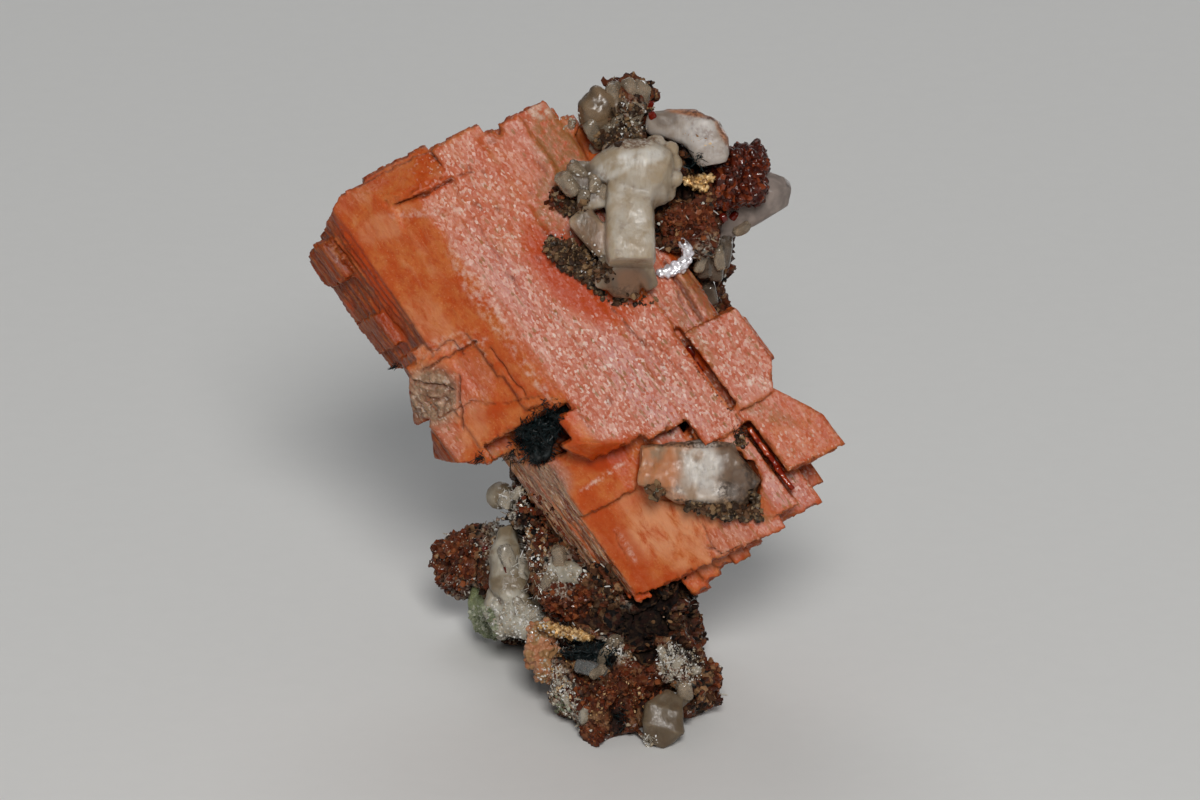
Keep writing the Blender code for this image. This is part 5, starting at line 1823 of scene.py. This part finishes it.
@dataclass
class NeedleCrusts:
    """The black needles in the hollow between the blocks and in the hollow of the foot; the upper bed is
    partly black painted shadow.

    Attributes:
        edge_px: How far right the upper bed reaches in the picture, at its top.
        top_px: How far down that top is.
        edge_slope: How much that edge moves left for each pixel down.
        voxel: Length of the new faces in millimetres.
    """

    edge_px: float = 566.0
    top_px: float = 404.0
    edge_slope: float = 0.35
    voxel: float = 0.2

    def build(self) -> list[Object]:
        """Work the beds and stand needles on them."""
        black = GrainFinish("aegirine_finish", ((0.004, 0.005, 0.005), (0.008, 0.014, 0.016)), 0.25)
        bed_finish = GrainFinish("aegirine_bed_and_shadow_finish", ((0.004, 0.005, 0.005), (0.008, 0.012, 0.013)), 0.4,
                                 0.0, 0.0, False, 0.5)
        made = []
        # The upper bed stands for the black needles and, at their left, for painted shadow in the hollow.
        rows = (
            ("aegirine_needles", "black_bed_and_shadow",
             Strewn("black_needles", Grain.NEEDLE, 900, (0.07, 0.16), 9.0, None, 0.5, 0.5)),
            ("aegirine_foot", "black_foot_bed",
             Strewn("black_foot_needles", Grain.NEEDLE, 260, (0.07, 0.13), 8.0, None, 0.6, 0.5)),
        )
        for number, (node, bed_name, crop) in enumerate(rows):
            bed = copy_node(node, bed_name)
            refine(bed, self.voxel, crisp=False)
            points = read_points(bed)
            if number == 0:
                pixels = LAYOUT.pixels(points)
                over = pixels[:, 0] - self.edge_px + self.edge_slope * (pixels[:, 1] - self.top_px)
                points[:, 0] -= np.maximum(over, 0.0) * LAYOUT.pixel * MM
                move_points(bed, points)
            push = 0.15 * cloud(points / MM, 0.6, 501, 2) + 0.7 * cloud(points / MM, 2.2, 502, 2)
            move_points(bed, points + read_normals(bed) * (push * MM)[:, None])
            finish_piece(bed, bed_finish.material(), "aegirine", node)
            piece = crop.grow(bed, 77 + number)
            finish_piece(piece, black.material(), "aegirine")
            made.extend((bed, piece))
        return made


@dataclass(frozen=True)
class Crumbs:
    """Small grains of one kind, strewn where the picture shows them.

    Attributes:
        finish: Their finish.
        name: The piece's name.
        slot: The name of its material slot.
        kind: Which small crystal.
        sizes: Their least and greatest breadth in millimetres.
        length: Their length as a share of their breadth.
        spots: The numbers of each oval that holds them, as in Patch up to its turn, and how many.
        unrest: How much they lean at random.
    """

    finish: GrainFinish
    name: str
    slot: str
    kind: Grain
    sizes: tuple[float, float]
    length: float
    spots: Rows
    unrest: float = 0.6

    def grow(self, carrier: Carrier, seed: int) -> Object:
        """Return the dressed grains, standing on what carries them."""
        rng = np.random.default_rng(seed)
        swarm = Swarm(self.name, self.kind)
        for *oval, count in self.spots:
            for place in Patch(*oval).scatter(rng, count):
                size, spin, tint = draw_grain(rng, self.sizes, self.length, 2.0, 1.2)
                jolt = Vector(rng.normal(0.0, self.unrest, 3))
                found = carrier.hit(place)
                if found is not None:
                    foot = found[0] - found[1] * (0.3 * size.x * MM)
                    swarm.add(foot, (found[1] + jolt).normalized(), size, spin, tint)
        piece = swarm.build()
        finish_piece(piece, self.finish.material(), self.slot)
        return piece


@dataclass
class Dusting:
    """The crumbs, flakes, tufts and specks that lie on the finished surfaces."""

    def build(self, carrier: Carrier) -> list[Object]:
        """Grow each kind.

        Args:
            carrier: The surfaces that carry them.
        """
        brown = GrainFinish("brown_crumb_finish", (
            (0.014, 0.008, 0.006), (0.06, 0.028, 0.014), (0.12, 0.06, 0.03), (0.03, 0.016, 0.010),
            (0.20, 0.12, 0.06),
        ), 0.14)
        red = GrainFinish("red_crumb_finish", (
            (0.03, 0.007, 0.003), (0.11, 0.022, 0.008), (0.20, 0.058, 0.020), (0.06, 0.013, 0.005),
        ), 0.14)
        white = GrainFinish("white_crumb_finish", (
            (0.48, 0.45, 0.38), (0.66, 0.64, 0.58), (0.76, 0.75, 0.73), (0.42, 0.34, 0.24),
        ), 0.05, 0.15, gloss=0.5)
        black = GrainFinish("black_crumb_and_shadow_finish", ((0.004, 0.006, 0.006), (0.006, 0.016, 0.018)), 0.18)
        gold = GrainFinish("gold_crumb_finish", (
            (0.42, 0.24, 0.09), (0.60, 0.42, 0.22), (0.22, 0.10, 0.03),
        ), 0.22)
        green = GrainFinish("green_crumb_finish", (
            (0.10, 0.12, 0.06), (0.22, 0.24, 0.15), (0.40, 0.41, 0.32),
        ), 0.2, 0.15)
        rows = (
            Crumbs(brown, "brown_crumbs", "matrix", Grain.CHIP, (0.25, 1.0), 1.0, (
                (572, 256, 30, 16, 25, 210), (598, 270, 20, 10, 20, 90), (625, 120, 18, 20, 0, 80),
                (606, 140, 16, 8, 0, 50), (575, 204, 16, 10, 0, 60), (730, 510, 36, 5, 4, 110),
                (742, 440, 8, 8, 0, 30), (655, 491, 8, 6, 0, 40), (632, 300, 24, 6, 0, 50),
                (600, 600, 14, 20, 0, 60),
            )),
            Crumbs(red, "red_brown_crumbs", "matrix", Grain.CHIP, (0.25, 1.0), 1.0, (
                (688, 222, 28, 20, -10, 200), (448, 560, 28, 40, 0, 260), (566, 602, 26, 20, 0, 200),
                (620, 690, 50, 18, -10, 200), (556, 198, 8, 14, 0, 40), (585, 735, 20, 10, 0, 60),
                (540, 520, 18, 30, -30, 90), (716, 690, 6, 26, 0, 40),
            )),
            Crumbs(white, "white_druse", "natrolite", Grain.CHIP, (0.10, 0.42), 1.1, (
                (515, 620, 34, 22, 15, 420), (512, 500, 18, 18, 0, 150), (680, 664, 26, 20, 30, 260),
                (560, 695, 14, 40, -30, 240), (538, 560, 12, 40, -16, 150), (566, 574, 22, 10, 10, 90),
                (627, 128, 22, 12, 0, 90), (572, 250, 30, 20, 20, 60), (648, 741, 10, 8, 0, 60),
                (568, 118, 14, 12, 40, 60), (560, 640, 20, 8, 10, 60), (450, 545, 28, 30, 0, 70),
                (620, 652, 20, 8, 40, 90), (585, 184, 18, 18, 0, 40),
            ), 0.9),
            Crumbs(white, "white_tufts", "natrolite", Grain.PRISM, (0.05, 0.14), 9.0, (
                (522, 590, 20, 40, -10, 130), (676, 660, 20, 16, 30, 60), (648, 740, 6, 6, 0, 22),
                (690, 603, 4, 4, 0, 6), (516, 494, 12, 12, 0, 26),
            ), 0.9),
            # Black needles; those at (692, 162), (585, 650) and (622, 716) fill dark hollows as painted
            # shade.
            Crumbs(black, "black_tufts_and_shadow", "aegirine", Grain.NEEDLE, (0.05, 0.13), 11.0, (
                (538, 430, 26, 18, -48, 520), (519, 452, 14, 12, -40, 120), (552, 404, 10, 8, 0, 60),
                (480, 457, 5, 5, 0, 40), (398, 367, 5, 6, 0, 40), (561, 418, 5, 3, 0, 20),
                (738, 430, 5, 5, 0, 22), (692, 162, 13, 12, 0, 120), (585, 650, 32, 8, 10, 160),
                (622, 716, 7, 16, 0, 60),
            ), 0.8),
            Crumbs(gold, "golden_crumbs", "gold_mineral", Grain.FLAKE, (0.25, 0.8), 1.0, (
                (572, 632, 24, 7, 10, 90), (560, 672, 10, 20, 0, 60), (540, 548, 10, 10, 0, 16),
                (606, 700, 40, 22, 0, 110), (700, 140, 20, 4, 20, 24),
            )),
            Crumbs(green, "green_crumbs", "green_mineral", Grain.CHIP, (0.2, 0.7), 1.2, (
                (482, 628, 16, 24, 0, 260), (655, 491, 7, 5, 0, 16), (560, 712, 10, 20, -30, 50),
            )),
        )
        return [row.grow(carrier, 900 + number) for number, row in enumerate(rows)]


@dataclass
class Studio:
    """A plain pale floor, soft light and the camera at the picture's viewing angle."""

    frame_width_px: float = 1200.0
    floor_size: float = 12.0
    floor_tone: Colour = (0.74, 0.74, 0.73)
    world_tone: Colour = (0.94, 0.97, 1.0)
    world_strength: float = 0.15
    lights: tuple[tuple[str, Place, float, float, Colour], ...] = (
        ("key", (0.10, -1.60, 0.36), 0.42, 21.0, (1.0, 0.98, 0.95)),
        ("top", (-0.20, 0.60, 1.50), 1.0, 4.0, (1.0, 1.0, 1.0)),
        ("back", (0.50, 1.50, 0.50), 0.9, 6.0, (1.0, 1.0, 1.0)),
    )

    def build(self) -> None:
        """Set the floor, the world, the lights and the camera."""
        self.lay_floor()
        world = bpy.data.worlds.new("studio_world")
        world.use_nodes = True
        background = world.node_tree.nodes["Background"]
        background.inputs["Color"].default_value = (*self.world_tone, 1.0)
        background.inputs["Strength"].default_value = self.world_strength
        bpy.context.scene.world = world
        bpy.context.scene.view_settings.view_transform = "Standard"
        for name, place, size, power, tone in self.lights:
            self.hang_light(name, place, size, power, tone)
        self.set_camera()

    def lay_floor(self) -> None:
        """Lay the pale floor."""
        bpy.ops.mesh.primitive_plane_add(size=self.floor_size, location=(0.0, 0.0, 0.0))
        floor = bpy.context.object
        floor.name = "floor"
        shader = Shader("floor_finish")
        speck = shader.noise(shader.object_space(), 3.0, 2.0)
        tone = shader.blend(speck, self.floor_tone, tuple(0.97 * part for part in self.floor_tone))
        shader.dress(base_color=tone, roughness=0.8)
        floor.data.materials.append(shader.material)

    def hang_light(self, name: str, place: Place, size: float, power: float, tone: Colour) -> None:
        """Hang one soft square light.

        Args:
            name: Its name.
            place: Where it hangs in the front frame, in metres from the specimen's middle.
            size: The length of its sides in metres.
            power: In watts.
            tone: Its colour.
        """
        lamp = bpy.data.lights.new(name, "AREA")
        lamp.shape = "SQUARE"
        lamp.size = size
        lamp.energy = power
        lamp.color = tone
        light = bpy.data.objects.new(name, lamp)
        middle = (CAD_BOX[0] + CAD_BOX[1]) / 2.0
        light.location = middle + LAYOUT.front().to_quaternion() @ Vector(place)
        light.rotation_euler = (middle - light.location).to_track_quat("-Z", "Y").to_euler()
        bpy.context.scene.collection.objects.link(light)

    def set_camera(self) -> None:
        """Set the camera so that the specimen's front lies in the frame as in the picture."""
        camera = bpy.data.cameras.new("camera")
        camera.sensor_width = 36.0
        frame_width = self.frame_width_px * LAYOUT.pixel
        camera.lens = camera.sensor_width * LAYOUT.eye_distance / frame_width
        camera.clip_start = 0.05
        camera.clip_end = 50.0
        eye = bpy.data.objects.new("camera", camera)
        eye.location = LAYOUT.front() @ LAYOUT.eye()
        eye.rotation_euler = (math.pi / 2.0 - LAYOUT.tilt, 0.0, 0.0)
        bpy.context.scene.collection.objects.link(eye)
        bpy.context.scene.camera = eye


def write_sizes() -> None:
    """Bring the view layer up to date."""
    bpy.context.view_layer.update()


def main() -> None:
    """Build the studio and every sub-assembly in order."""
    logging.basicConfig(level=logging.INFO, format="%(message)s")
    Studio().build()
    carriers = []
    for assembly in (SeranditeGroup(), Rock(), CrystalGroups(), GranularPieces(), NeedleCrusts()):
        pieces = assembly.build()
        carriers.extend(pieces)
        LOG.info("%s: %d pieces", type(assembly).__name__, len(pieces))
    carriers.extend(SmallCrystals().build(Carrier(carriers)))
    Dusting().build(Carrier(carriers))
    bpy.ops.object.select_all(action="DESELECT")
    write_sizes()


if __name__ == "__main__":
    main()
